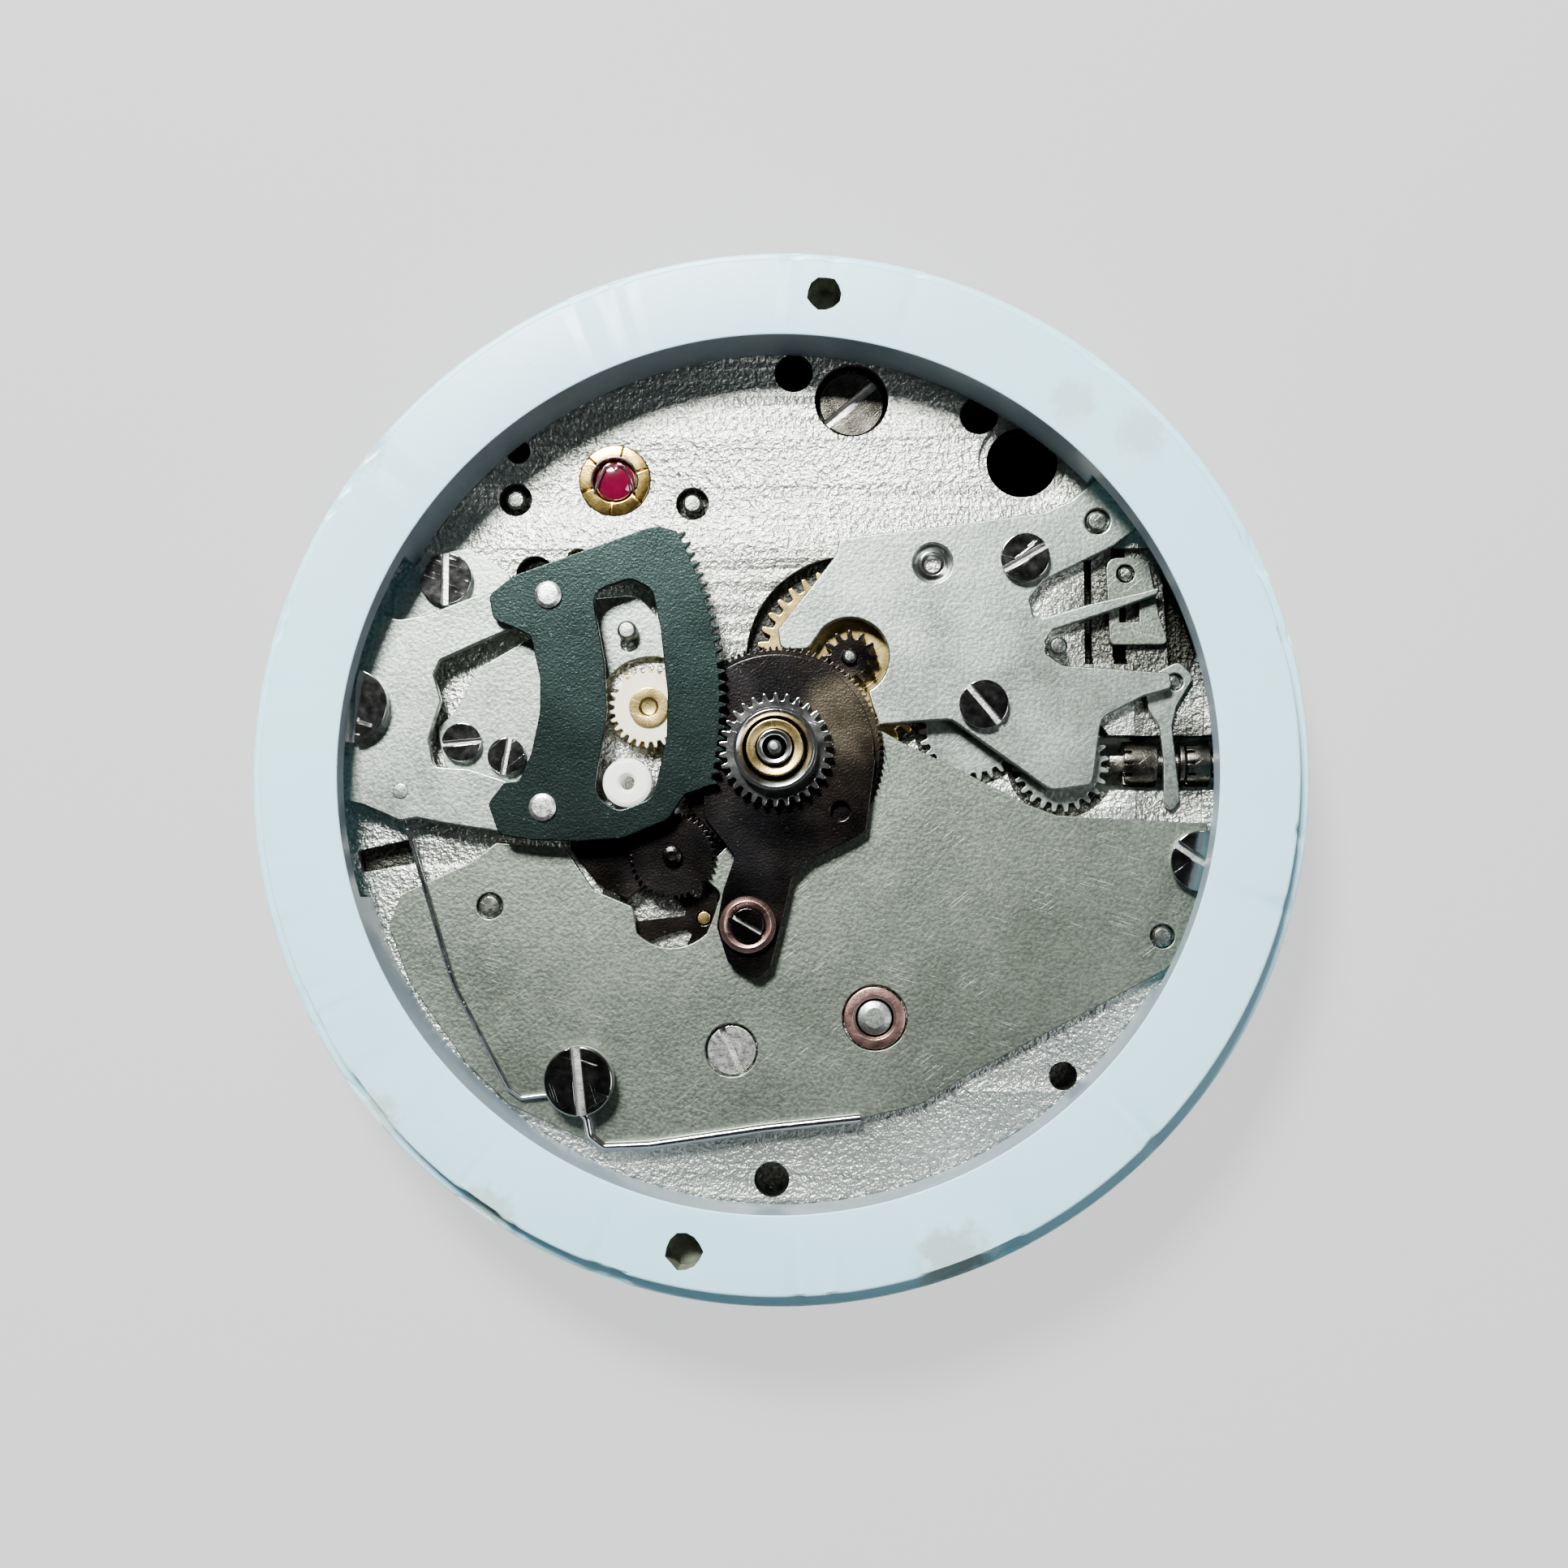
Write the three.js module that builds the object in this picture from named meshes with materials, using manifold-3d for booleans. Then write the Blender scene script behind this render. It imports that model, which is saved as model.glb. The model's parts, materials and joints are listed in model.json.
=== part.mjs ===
// A mechanical watch movement, dial side up, held in a plastic movement ring.
// Millimetres, +Z up. The origin is the ring's axis at its resting face;
// +X points to the winding stem (3 o'clock) and +Y to 12 o'clock.
import * as THREE from "three";
import { mergeVertices } from "three/addons/utils/BufferGeometryUtils.js";
import Module from "manifold-3d";

const wasm = await Module();
wasm.setup();

// ---- driving dimensions ---------------------------------------------------
const RING = { top: 5.4, lip: 3.25, bore: 13.05, seat: 14.2, outer: 15.4, flange: 15.8, flangeTop: 4.75 };
const DIAL_HOLE = { r: 0.53, at: 14.35, depth: 1.2 };
const PLATE = { bottom: 2.2, top: 3.2, r: 14.0 };
const COVER = { bottom: 3.25, top: 3.55 };
const SETTING = { bottom: 3.25, top: 3.6 };
const RECESS = 2.7; // floor of the wheel recesses in the main plate
const GAP = 0.03; // running and seating clearance
const HANDS = [0, 0.6]; // axis of the hands
const STEM = { y: 0.275, z: 2.5 };

// ---- gears: pitch radius from module, phase is the angle of one tooth ------
const polar = (at, r, a) => [at[0] + r * Math.cos(a), at[1] + r * Math.sin(a)];
const heading = (a, b) => Math.atan2(b[1] - a[1], b[0] - a[0]);
const distance = (a, b) => Math.hypot(b[0] - a[0], b[1] - a[1]);

// The point at distances ra from a and rb from b, on the given side of the line a-b.
function meet(a, ra, b, rb, side) {
  const d = distance(a, b);
  const along = (ra * ra - rb * rb + d * d) / (2 * d);
  const off = Math.sqrt(ra * ra - along * along);
  return polar(polar(a, along, heading(a, b)), off, heading(a, b) + side * Math.PI / 2);
}

function wheel(at, teeth, pitch, phase = 0) {
  return { at, teeth, pitch, phase, module: (2 * pitch) / teeth };
}

// A wheel at b whose gap meets the tooth of wheel a on the line between their centres.
function mate(a, at, teeth, pitch) {
  const way = heading(a.at, at);
  const step = (2 * Math.PI) / a.teeth;
  const past = (((way - a.phase) % step) + step) % step;
  return wheel(at, teeth, pitch, way + Math.PI + (past * a.teeth) / teeth + Math.PI / teeth);
}

// Motion work: cannon pinion, minute wheel and pinion, hour wheel (12 to 1).
const MINUTE_AT = [2.225, 3.525];
const MOTION = distance(HANDS, MINUTE_AT);
const minuteWheel = wheel(MINUTE_AT, 36, MOTION * 0.75);
const cannon = mate(minuteWheel, HANDS, 12, MOTION * 0.25);
const minutePinion = wheel(MINUTE_AT, 12, MOTION * 0.2);
const hourWheel = mate(minutePinion, HANDS, 48, MOTION * 0.8);
// Fine-toothed drive wheel on the hour wheel, and the small wheel it turns.
const fineWheel = wheel(HANDS, 100, 3.2);
const smallWheel = mate(fineWheel, polar(HANDS, 4.48, heading(HANDS, [-3.25, -2.65])), 40, 1.28);
// Intermediate display wheel: a pinion under the ivory wheel meshes with the hour wheel.
const IVORY_AT = [-3.88, 1.95];
const ivoryPinion = mate(hourWheel, IVORY_AT, 19, distance(HANDS, IVORY_AT) - hourWheel.pitch);
// Retrograde rack and display pinion.
const PIVOT = [-12.925, 2.0];
const RACK_SPAN = 12.98;
const PINION = wheel(HANDS, 30, RACK_SPAN / 8, heading(HANDS, PIVOT));
const rackGear = mate(PINION, PIVOT, 210, (RACK_SPAN * 7) / 8);
// Setting wheels between the stem and the minute wheel.
const SETTING_AT = [8.675, 0.275];
const between = wheel([0, 0], 27, 1.55);
const middleAt = meet(MINUTE_AT, minuteWheel.pitch + between.pitch, SETTING_AT, 1.378 + between.pitch, -1);
const middleWheel = mate(minuteWheel, middleAt, 27, 1.55);
const settingWheel = mate(middleWheel, SETTING_AT, 24, 1.378);
// Going train on the back: barrel, great wheel, third wheel, sweep fourth wheel, escapement.
const BARREL_AT = [2.95, -7.45];
const barrel = wheel(BARREL_AT, 63, 5.25);
const greatPinion = mate(barrel, [-2.25, -4.45], 9, 0.75);
const GREAT_AT = greatPinion.at;
const greatWheel = wheel(GREAT_AT, 54, 3.465);
const THIRD_AT = meet(GREAT_AT, 3.85, HANDS, 3.95, 1);
const thirdPinion = mate(greatWheel, THIRD_AT, 6, 0.385);
const thirdWheel = wheel(THIRD_AT, 60, 3.485);
const fourthPinion = mate(thirdWheel, HANDS, 8, 0.465);
const BALANCE_AT = [-5.075, 9.15];
const toBalance = heading(HANDS, BALANCE_AT);
const ESCAPE_AT = polar(HANDS, 4.0, toBalance);
const fourthWheel = wheel(HANDS, 60, 3.6363);
const escapePinion = mate(fourthWheel, ESCAPE_AT, 6, 0.3637);
const PALLET_AT = polar(ESCAPE_AT, 2.7, toBalance);
const driveWheel = wheel(GREAT_AT, 27, distance(GREAT_AT, HANDS) * 27 / 51);
const cannonWheel = mate(driveWheel, HANDS, 24, distance(GREAT_AT, HANDS) * 24 / 51);
// Keyless and winding work.
const LEVER_AT = [10.7, 6.1];
const YOKE_AT = [12.15, 2.75];
const CROWN_AT = [9.9, -1.9];
const WINDING = distance(BARREL_AT, CROWN_AT);
const ratchet = wheel(BARREL_AT, 45, WINDING * 0.6);
const crownGear = mate(ratchet, CROWN_AT, 30, WINDING * 0.4);

// ---- outlines -------------------------------------------------------------
const v2 = (p) => new THREE.Vector2(p[0], p[1]);

function circle(at, r, sides = 10) {
  return Array.from({ length: sides }, (_, i) => v2(polar(at, r, (2 * Math.PI * i) / sides)));
}

// A closed outline; a corner [x, y, radius] is rounded with that radius.
function outline(corners, steps = 2) {
  const points = [];
  corners.forEach(([x, y, r], i) => {
    if (!r) return points.push(new THREE.Vector2(x, y));
    const here = new THREE.Vector2(x, y);
    const before = v2(corners[(i + corners.length - 1) % corners.length]).sub(here).normalize();
    const after = v2(corners[(i + 1) % corners.length]).sub(here).normalize();
    const half = before.angleTo(after) / 2;
    const reach = r / Math.tan(half);
    const bend = new THREE.QuadraticBezierCurve(
      here.clone().addScaledVector(before, reach),
      here,
      here.clone().addScaledVector(after, reach),
    );
    return points.push(...bend.getPoints(steps));
  });
  return points;
}

function arc(at, r, from, to, steps) {
  return Array.from({ length: steps + 1 }, (_, i) =>
    polar(at, r, THREE.MathUtils.degToRad(from + ((to - from) * i) / steps)));
}

// Teeth as half widths, in shares of the tooth pitch, at heights in modules from the pitch circle.
const FINE = [[0, 0.85], [0.5, -1.2]];
const BROAD = [[-0.09, 0.9], [0.09, 0.9], [0.3, -1.2], [0.7, -1.2]];

function teethAlong(gear, first, last, profile) {
  const step = (2 * Math.PI) / gear.teeth;
  const points = [];
  for (let i = first; i < last; i++)
    for (const [share, height] of profile)
      points.push(polar(gear.at, gear.pitch + height * gear.module, gear.phase + step * (i + share)));
  return points;
}

const toothed = (gear, profile = FINE) => teethAlong(gear, 0, gear.teeth, profile).map(v2);

// ---- solids ---------------------------------------------------------------
function prism(points, bottom, top, holes = []) {
  const shape = new THREE.Shape(points);
  shape.holes = holes.map((h) => new THREE.Path(h));
  const depth = top - bottom;
  const made = new THREE.ExtrudeGeometry(shape, { depth, bevelEnabled: false, steps: 1 });
  return made.translate(0, 0, bottom);
}

const disc = (at, r, bottom, top, sides = 10, holes = []) => prism(circle(at, r, sides), bottom, top, holes);

// Turned about a vertical axis: profile of [radius, z] that closes on itself or on the axis.
function turned(at, profile, sides = 10) {
  const ends = profile[0][0] === 0 ? profile : [...profile, profile[0]];
  const lathe = new THREE.LatheGeometry(ends.map(v2), sides);
  return lathe.rotateX(Math.PI / 2).translate(at[0], at[1], 0);
}

// The same, along the stem axis: profile of [radius, x].
function turnedOnStem(profile, sides = 12) {
  const lathe = new THREE.LatheGeometry(profile.map(v2), sides);
  return lathe.rotateZ(-Math.PI / 2).translate(0, STEM.y, STEM.z);
}

function box(x0, x1, y0, y1, z0, z1) {
  const made = new THREE.BoxGeometry(x1 - x0, y1 - y0, z1 - z0);
  return made.translate((x0 + x1) / 2, (y0 + y1) / 2, (z0 + z1) / 2);
}

function solid(geometry) {
  const g = geometry.clone();
  g.deleteAttribute("normal");
  g.deleteAttribute("uv");
  const merged = mergeVertices(g, 1e-4);
  return new wasm.Manifold(new wasm.Mesh({
    numProp: 3,
    vertProperties: new Float32Array(merged.attributes.position.array),
    triVerts: new Uint32Array(merged.index.array),
  }));
}

function geometryOf(manifold) {
  const mesh = manifold.getMesh();
  return new THREE.BufferGeometry()
    .setAttribute("position", new THREE.BufferAttribute(new Float32Array(mesh.vertProperties), 3))
    .setIndex(new THREE.BufferAttribute(new Uint32Array(mesh.triVerts), 1));
}

const join = (...parts) => geometryOf(parts.map(solid).reduce((a, b) => a.add(b)));
const cut = (base, ...tools) => geometryOf(tools.map(solid).reduce((a, b) => a.subtract(b), solid(base)));

// ---- finishes -------------------------------------------------------------
const FINISH = {
  plastic: [0xdcecf2, 0.5, 0],
  silver: [0xd8dad6, 0.45, 1],
  satin: [0xa8aea6, 0.45, 1],
  steel: [0xbfc4c6, 0.3, 1],
  polished: [0x9aa0a2, 0.15, 1],
  black: [0x1d2224, 0.35, 1],
  blued: [0x31484a, 0.35, 1],
  brass: [0xd9b75c, 0.3, 1],
  copper: [0xb97a6c, 0.3, 1],
  ruby: [0x8e1038, 0.08, 0],
  ivory: [0xe9e2c4, 0.5, 0],
  white: [0xf2f2ee, 0.35, 0],
};
const movement = new THREE.Group();

function add(name, geometry, finish) {
  const [color, roughness, metalness] = FINISH[finish];
  const mesh = new THREE.Mesh(geometry, new THREE.MeshStandardMaterial({ color, roughness, metalness }));
  mesh.name = name;
  movement.add(mesh);
}

// ---- screws ---------------------------------------------------------------
// Each screw says which plate it passes; the plates are bored for it afterwards.
const bored = {
  main: [], lower: [], setting: [], side: [], rack: [], retaining: [], barrel: [], train: [], cock: [],
};

function bore(plates, at, r) {
  for (const plate of plates) bored[plate].push(circle(at, r + 3 * GAP, 8));
}

// A slotted cheese-head screw: seat is the z its head sits on, length its shank; up is -1 on the back.
function screw(name, at, headR, headH, seat, length, slotAngle, plates, options = {}) {
  const { finish = "polished", shankShare = 0.5, up = 1 } = options;
  const shank = headR * shankShare;
  const body = turned([0, 0], [
    [0, -length], [shank, -length], [shank, 0], [headR, 0], [headR, headH], [0, headH],
  ], 8);
  const slot = box(-headR * 1.2, headR * 1.2, -headR * 0.11, headR * 0.11, headH * 0.55, headH + 1);
  slot.rotateZ(THREE.MathUtils.degToRad(slotAngle));
  const made = cut(body, slot);
  if (up < 0) made.rotateX(Math.PI);
  add(name, made.translate(at[0], at[1], seat), finish);
  bore(plates, at, shank);
}

// ---- holder ring ----------------------------------------------------------
function holderRing() {
  const body = turned([0, 0], [
    [RING.bore, RING.lip], [RING.seat, RING.lip], [RING.seat, 0], [RING.flange, 0],
    [RING.flange, RING.flangeTop], [RING.outer, RING.flangeTop + 0.12], [RING.outer, RING.top - 0.1],
    [RING.outer - 0.1, RING.top], [RING.bore, RING.top],
  ], 48);
  const pocket = (from, to, r, top) => {
    const rim = [...arc([0, 0], r, from, to, 10), ...arc([0, 0], RING.bore - 0.6, to, from, 10)];
    return prism(rim.map(v2), RING.lip - 0.4, top);
  };
  const dialHole = (angle) => {
    const at = polar([0, 0], DIAL_HOLE.at, THREE.MathUtils.degToRad(angle));
    return disc(at, DIAL_HOLE.r, RING.top - DIAL_HOLE.depth, RING.top + 1, 6);
  };
  const stemHole = turnedOnStem([
    [0, RING.seat - 1.5], [0.95, RING.seat - 1.5], [0.95, RING.flange + 1], [0, RING.flange + 1],
  ], 14);
  return cut(body, pocket(150, 197, 14.95, 4.68), pocket(-30, 43, RING.seat, 4.45),
    dialHole(84), dialHole(259.5), stemHole);
}
add("holder_ring", holderRing(), "plastic");

// ---- fasteners on the dial side -------------------------------------------
screw("rack_pivot_screw", PIVOT, 1.125, 0.42, 4.13, 1.6, 90, ["main"], { shankShare: 0.45 });
screw("rack_spring_screw", [-5.92, -9.32], 1.05, 0.5, 3.8, 1.3, 96, ["main", "lower"]);
screw("side_bridge_screw", [-10.25, 6.01], 0.82, 0.26, 3.5, 1.1, 90, ["main", "side"]);
screw("rack_bridge_screw_left", [-9.68, 0.93], 0.61, 0.24, 3.52, 1.1, 5, ["main", "rack"]);
screw("rack_bridge_screw_right", [-8.29, 0.5], 0.58, 0.24, 3.52, 1.1, 80, ["main", "rack"]);
screw("setting_cover_screw_upper", [7.58, 6.51], 0.75, 0.28, 3.62, 1.2, 30, ["main", "setting"]);
screw("setting_cover_screw_lower", [6.29, 2.02], 0.75, 0.28, 3.62, 0.65, -50, ["setting"]);
screw("lower_cover_screw", [12.75, -2.75], 0.92, 0.36, 3.57, 1.2, -35, ["main", "lower"]);
screw("retaining_screw", [-0.85, -4.65], 0.5, 0.42, 4.08, 0.46, -30, ["retaining"],
  { finish: "black", shankShare: 0.6 });
screw("recessed_screw", [-1.38, -8.43], 0.74, 0.3, 3.1, 0.7, -65, ["main"]);
screw("bridge_screw_dial_side", [2.3, 11.62], 1.0, 0.3, 2.46, 1.4, 40, ["train"]);

// ---- main plate -----------------------------------------------------------
function mainPlate() {
  const through = [
    [[7.58, 9.65], 1.1], [[0.5, 12.5], 0.6], [[6.25, 11.1], 0.6], [[-8.12, 10.1], 0.38],
    [[-7.55, 6.2], 0.6], [[-6.2, 6.65], 0.38], [[-0.17, -12.32], 0.53], [[8.62, -9.2], 0.43],
    [BALANCE_AT, 0.7], [BARREL_AT, 0.6], [HANDS, 0.3], [GREAT_AT, 0.3], [[2.3, 11.62], 0.62],
  ].map(([at, r]) => circle(at, r, 10));
  const blank = prism(circle([0, 0], PLATE.r, 48), PLATE.bottom, PLATE.top, [...through, ...bored.main]);
  const recess = (at, r, floor = RECESS, sides = 16) => disc(at, r, floor, PLATE.top + 1, sides);
  const pads = [
    recess(MINUTE_AT, 3.2, RECESS, 24), recess(HANDS, 2.9, RECESS, 24), recess(GREAT_AT, 3.22, 2.94, 24),
    recess(middleAt, 1.8), recess(SETTING_AT, 1.68), recess([2.3, 11.62], 1.15, 2.42),
    recess([7.58, 9.65], 1.37, 3.0), recess(BALANCE_AT, 1.13, 2.8), recess([-1.38, -8.43], 0.8, 3.05),
    prism(outline([
      [9.6, 3.5], [9.6, 6.9], [11.7, 6.9], [12.4, 3.7], [13.1, 3.7], [12.9, -1.6], [10.9, -1.6], [10.9, 3.5],
    ]), 2.94, PLATE.top + 1),
  ];
  const stemChannel = box(9.7, PLATE.r + 1, STEM.y - 0.85, STEM.y + 0.85, 1, PLATE.top + 1);
  const dowel = (x, y, r, top) => disc([x, y], r, PLATE.top - 0.5, top, 8);
  const plate = cut(blank, ...pads, stemChannel);
  return join(plate, dowel(-8.18, 8.57, 0.36, 3.32), dowel(-2.65, 8.4, 0.38, 3.34),
    dowel(-8.78, -4.08, 0.34, 3.58), dowel(11.6, -5.0, 0.3, 3.6), dowel(9.81, 7.65, 0.32, 3.63),
    dowel(8.55, 3.77, 0.28, 3.95), disc(MINUTE_AT, 0.21, RECESS - 0.1, 3.72, 12),
    disc(YOKE_AT, 0.2, 2.9, 3.2, 8),
    disc(LEVER_AT, 0.22, 2.9, 3.22, 8));
}
add("main_plate", mainPlate(), "silver");

// ---- cover plates ---------------------------------------------------------
const DOWEL_HOLES = {
  lower: [circle([-8.78, -4.08], 0.4, 10), circle([11.6, -5.0], 0.36, 10)],
  setting: [circle([9.81, 7.65], 0.38, 10)],
};

function lowerCover() {
  const edge = outline([
    [-8.6, -2.15], [-9.35, -2.73, 0.4], [-11.5, -3.7, 0.6], [-11.9, -4.7, 0.5], [-11.2, -6.45],
    [-9.45, -8.85], [-8.1, -10.1], [-5.08, -11.45, 0.6], [2.6, -10.45], [4.33, -10.03], [5.83, -9.1],
    [11.7, -6.0], [12.6, -5.0], [13.55, -3.4], [13.9, -1.6], [8.5, -1.35], [7.62, -1.02],
    [5.35, 0.15], [3.8, 0.9], [3.17, 1.27],
    ...arc(HANDS, 3.24, 12, -118, 12),
    [-2.35, -3.1], [-1.7, -3.7, 0.3], [-2.0, -4.6, 0.3], ...arc([-3.2, -3.85], 1.5, -45, -135, 5),
    [-4.4, -4.1, 0.3], [-5.6, -3.6, 0.4], [-6.5, -2.3],
  ]);
  const centreScrew = circle([-1.38, -8.43], 0.8, 14);
  const bush = circle(BARREL_AT, 0.98, 16);
  const holes = [centreScrew, bush, ...bored.lower, ...DOWEL_HOLES.lower];
  const plate = prism(edge, COVER.bottom, COVER.top, holes);
  return join(plate, turned([-0.85, -4.65], [[0.34, 3.4], [0.8, 3.4], [0.8, 3.82], [0.34, 3.82]], 12));
}
add("lower_cover_plate", lowerCover(), "satin");

function settingCover() {
  const edge = outline([
    [0.02, 4.4], [1.8, 6.65], [1.93, 7.2, 0.25], [4.6, 7.5], [8.16, 7.95], [9.0, 8.3, 0.6], [10.2, 9.3],
    [11.4, 7.7], [10.32, 6.9], [8.2, 5.85, 0.3], [7.72, 5.3, 0.2], [7.85, 4.72, 0.1], [8.1, 4.68],
    [9.6, 5.12], [11.15, 5.47], [11.7, 5.62, 0.06], [11.6, 5.38, 0.06], [10.12, 4.86], [8.4, 4.3],
    [8.2, 4.0, 0.1], [8.2, 3.6, 0.2], [8.75, 3.22, 0.2], [10.12, 3.12], [11.95, 2.98, 0.15],
    [12.0, 2.5, 0.2], [11.1, 2.25, 0.4], [9.85, 1.6, 0.5], [9.55, -0.45, 0.35], [8.3, -0.6, 0.5],
    [5.3, 1.58, 0.5], [4.08, 1.5], [3.08, 1.42],
    ...arc(MINUTE_AT, 1.2, -62, 134, 10), [0.95, 3.75, 0.5], [0.1, 3.75, 0.3],
  ]);
  const pivotHole = circle([4.78, 6.4], 0.58, 14);
  const plate = prism(edge, SETTING.bottom, SETTING.top, [pivotHole, ...bored.setting, ...DOWEL_HOLES.setting]);
  const bush = turned([4.78, 6.4], [[0.16, 3.25], [0.62, 3.25], [0.62, 3.4], [0.34, 3.5], [0.16, 3.36]], 14);
  return join(plate, bush);
}
add("setting_cover_plate", settingCover(), "steel");

function retainingPlate() {
  const edge = outline([
    ...arc(HANDS, 2.95, 140, -2, 12), [3.0, 0.3], [2.72, -1.8, 0.2], [2.35, -2.05], [1.0, -2.7, 0.3],
    [0.5, -3.2, 0.3], [0.16, -4.7], [-0.15, -5.9, 0.25], [-0.6, -6.3, 0.3], [-1.45, -5.8, 0.3],
    [-1.8, -4.7, 0.4], [-1.6, -3.6], [-1.25, -2.6, 0.3], [-2.2, -1.4],
  ]);
  const holes = [circle(HANDS, 0.99, 20), circle([1.93, -1.23], 0.3, 10), ...bored.retaining];
  return prism(edge, 3.85, 4.05, holes);
}
add("retaining_plate", retainingPlate(), "black");
add("retaining_collar", turned([-0.85, -4.65], [
  [0.54, 4.08], [0.85, 4.08], [0.85, 4.28], [0.7, 4.36], [0.54, 4.3],
], 12), "copper");
add("barrel_arbor_bush", turned(BARREL_AT, [
  [0.58, 3.25], [0.93, 3.25], [0.93, 3.6], [0.66, 3.62], [0.58, 3.58],
], 14), "copper");

// ---- bridges around the rack ----------------------------------------------
function sideBridge() {
  const edge = outline([
    [-12.6, 4.6], [-12.2, 5.8, 0.5], [-10.9, 6.8, 0.6], [-9.6, 7.0, 0.5], [-8.3, 6.2, 0.3], [-8.1, 4.6],
    [-9.4, 4.05], [-11.2, 3.7],
  ]);
  return prism(edge, COVER.bottom, 3.48, bored.side);
}
add("side_bridge", sideBridge(), "steel");

function rackBridge() {
  const edge = outline([
    [-9.3, 3.2, 0.1], [-8.1, 3.9, 0.3], [-5.6, 5.4, 0.5], [-4.3, 5.5, 0.8], [-3.35, 4.4, 0.5], [-3.2, 3.45],
    ...arc(IVORY_AT, 1.62, 65, 190, 7), [-6.1, 0.6], [-7.4, -0.2, 0.3], [-8.5, -0.35, 0.4],
    [-10.2, 0.1, 0.4], [-10.5, 1.4, 0.3], [-9.9, 1.9, 0.3],
  ]);
  const pin = turned([-4.58, 4.33], [[0, 3.4], [0.3, 3.4], [0.3, 3.95], [0.24, 4.02], [0, 4.02]], 12);
  return join(prism(edge, COVER.bottom, 3.5, bored.rack), pin);
}
add("rack_bridge", rackBridge(), "steel");
add("collar_post", turned([-4.53, -0.35], [
  [0.22, 3.22], [0.4, 3.22], [0.4, 3.52], [0.75, 3.52], [0.75, 4.0], [0.66, 4.07], [0.22, 4.07],
], 12), "white");

// ---- balance jewel in its shock setting ------------------------------------
add("jewel_block", turned(BALANCE_AT, [
  [0.4, 2.84], [1.1, 2.84], [1.1, 3.24], [1.02, 3.29], [0.68, 3.29], [0.64, 3.02], [0.4, 3.02],
], 14), "brass");
add("cap_jewel", turned(BALANCE_AT, [
  [0, 3.05], [0.6, 3.05], [0.6, 3.14], [0.42, 3.22], [0, 3.26],
], 12), "ruby");

// A lyre spring: three legs over the jewel, held under the rim of the block.
function lyreSpring() {
  const rim = disc(BALANCE_AT, 0.95, 3.31, 3.36, 12, [circle(BALANCE_AT, 0.76, 12)]);
  const leg = (angle) => {
    const made = box(0.2, 0.86, -0.05, 0.05, 3.31, 3.36);
    return made.rotateZ(THREE.MathUtils.degToRad(angle)).translate(BALANCE_AT[0], BALANCE_AT[1], 0);
  };
  return join(rim, leg(95), leg(215), leg(335));
}
add("jewel_spring", lyreSpring(), "brass");

// ---- retrograde rack ------------------------------------------------------
const RIVETS = [[-6.92, 5.35], [-7.03, -1.12]];

// A stud of the arm, peened over the toothed plate.
function rivet(at) {
  return turned(at, [
    [0, 3.9], [0.24, 3.9], [0.24, 4.47], [0.42, 4.47], [0.4, 4.53], [0.28, 4.57], [0, 4.57],
  ], 12);
}

function rackArm() {
  const edge = outline([
    [-13.7, 1.9], [-13.55, 4.0, 0.8], [-12.35, 4.95, 0.3], [-11.6, 4.68, 0.5], [-10.79, 4.81], [-8.5, 5.67],
    [-6.9, 6.25, 0.3], [-6.2, 5.6, 0.5], [-6.7, 4.6, 0.3], [-8.3, 4.3], [-9.2, 3.92], [-10.3, 3.42, 0.2],
    [-10.5, 3.0, 0.2], [-10.25, 2.2, 0.3], [-10.62, 1.0, 0.3], [-10.45, 0.15, 0.3], [-9.35, 0.08],
    [-7.9, -0.4], [-6.5, -0.6, 0.3], [-6.4, -1.6, 0.4], [-7.2, -2.0, 0.3], [-8.3, -1.85], [-9.95, -1.6],
    [-10.95, -1.4], [-11.45, -1.5, 0.3], [-12.6, -1.0, 0.2], [-13.35, -0.85, 0.2],
  ]);
  const springPin = turned([-11.45, -0.6], [[0, 3.56], [0.24, 3.56], [0.24, 4.13], [0, 4.13]], 12);
  return join(prism(edge, 3.8, 4.1, [circle(PIVOT, 0.56, 14)]), springPin, ...RIVETS.map(rivet));
}
add("rack_arm", rackArm(), "steel");

function rackSector() {
  const step = 360 / rackGear.teeth;
  const start = THREE.MathUtils.radToDeg(rackGear.phase);
  const first = Math.ceil((-13.6 - start) / step);
  const last = Math.floor((29.6 - start) / step);
  const teeth = teethAlong(rackGear, first, last, FINE);
  const edge = outline([
    ...teeth, [-3.55, 7.45], [-3.9, 7.4], [-8.0, 5.95, 0.35], [-8.75, 5.35, 0.3], [-8.6, 4.6, 0.3],
    [-8.0, 4.38, 0.2], [-7.45, 4.1, 0.3], [-7.15, 2.8], [-7.15, 1.75], [-7.4, 0.5], [-7.75, -0.3, 0.2],
    [-8.2, -0.35, 0.2], [-8.7, -1.0, 0.3], [-8.35, -1.95, 0.35], [-7.3, -2.1], [-5.95, -2.15],
    [-4.6, -2.05, 0.4], [-3.25, -1.5, 0.5], [-2.75, -0.75],
  ]);
  const slot = outline([
    [-4.55, 5.85, 0.4], [-5.55, 5.3, 0.4], [-5.2, 3.3], [-5.1, 1.77], [-5.45, -0.7, 0.35],
    [-4.75, -1.2, 0.4], [-3.75, -0.75, 0.4], [-3.3, 0.95], [-3.27, 2.3], [-3.5, 4.33], [-3.75, 5.4, 0.4],
  ]);
  const holes = [slot, ...RIVETS.map((at) => circle(at, 0.28, 10))];
  return prism(edge, 4.15, 4.45, holes);
}
add("rack_sector", rackSector(), "blued");

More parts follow.
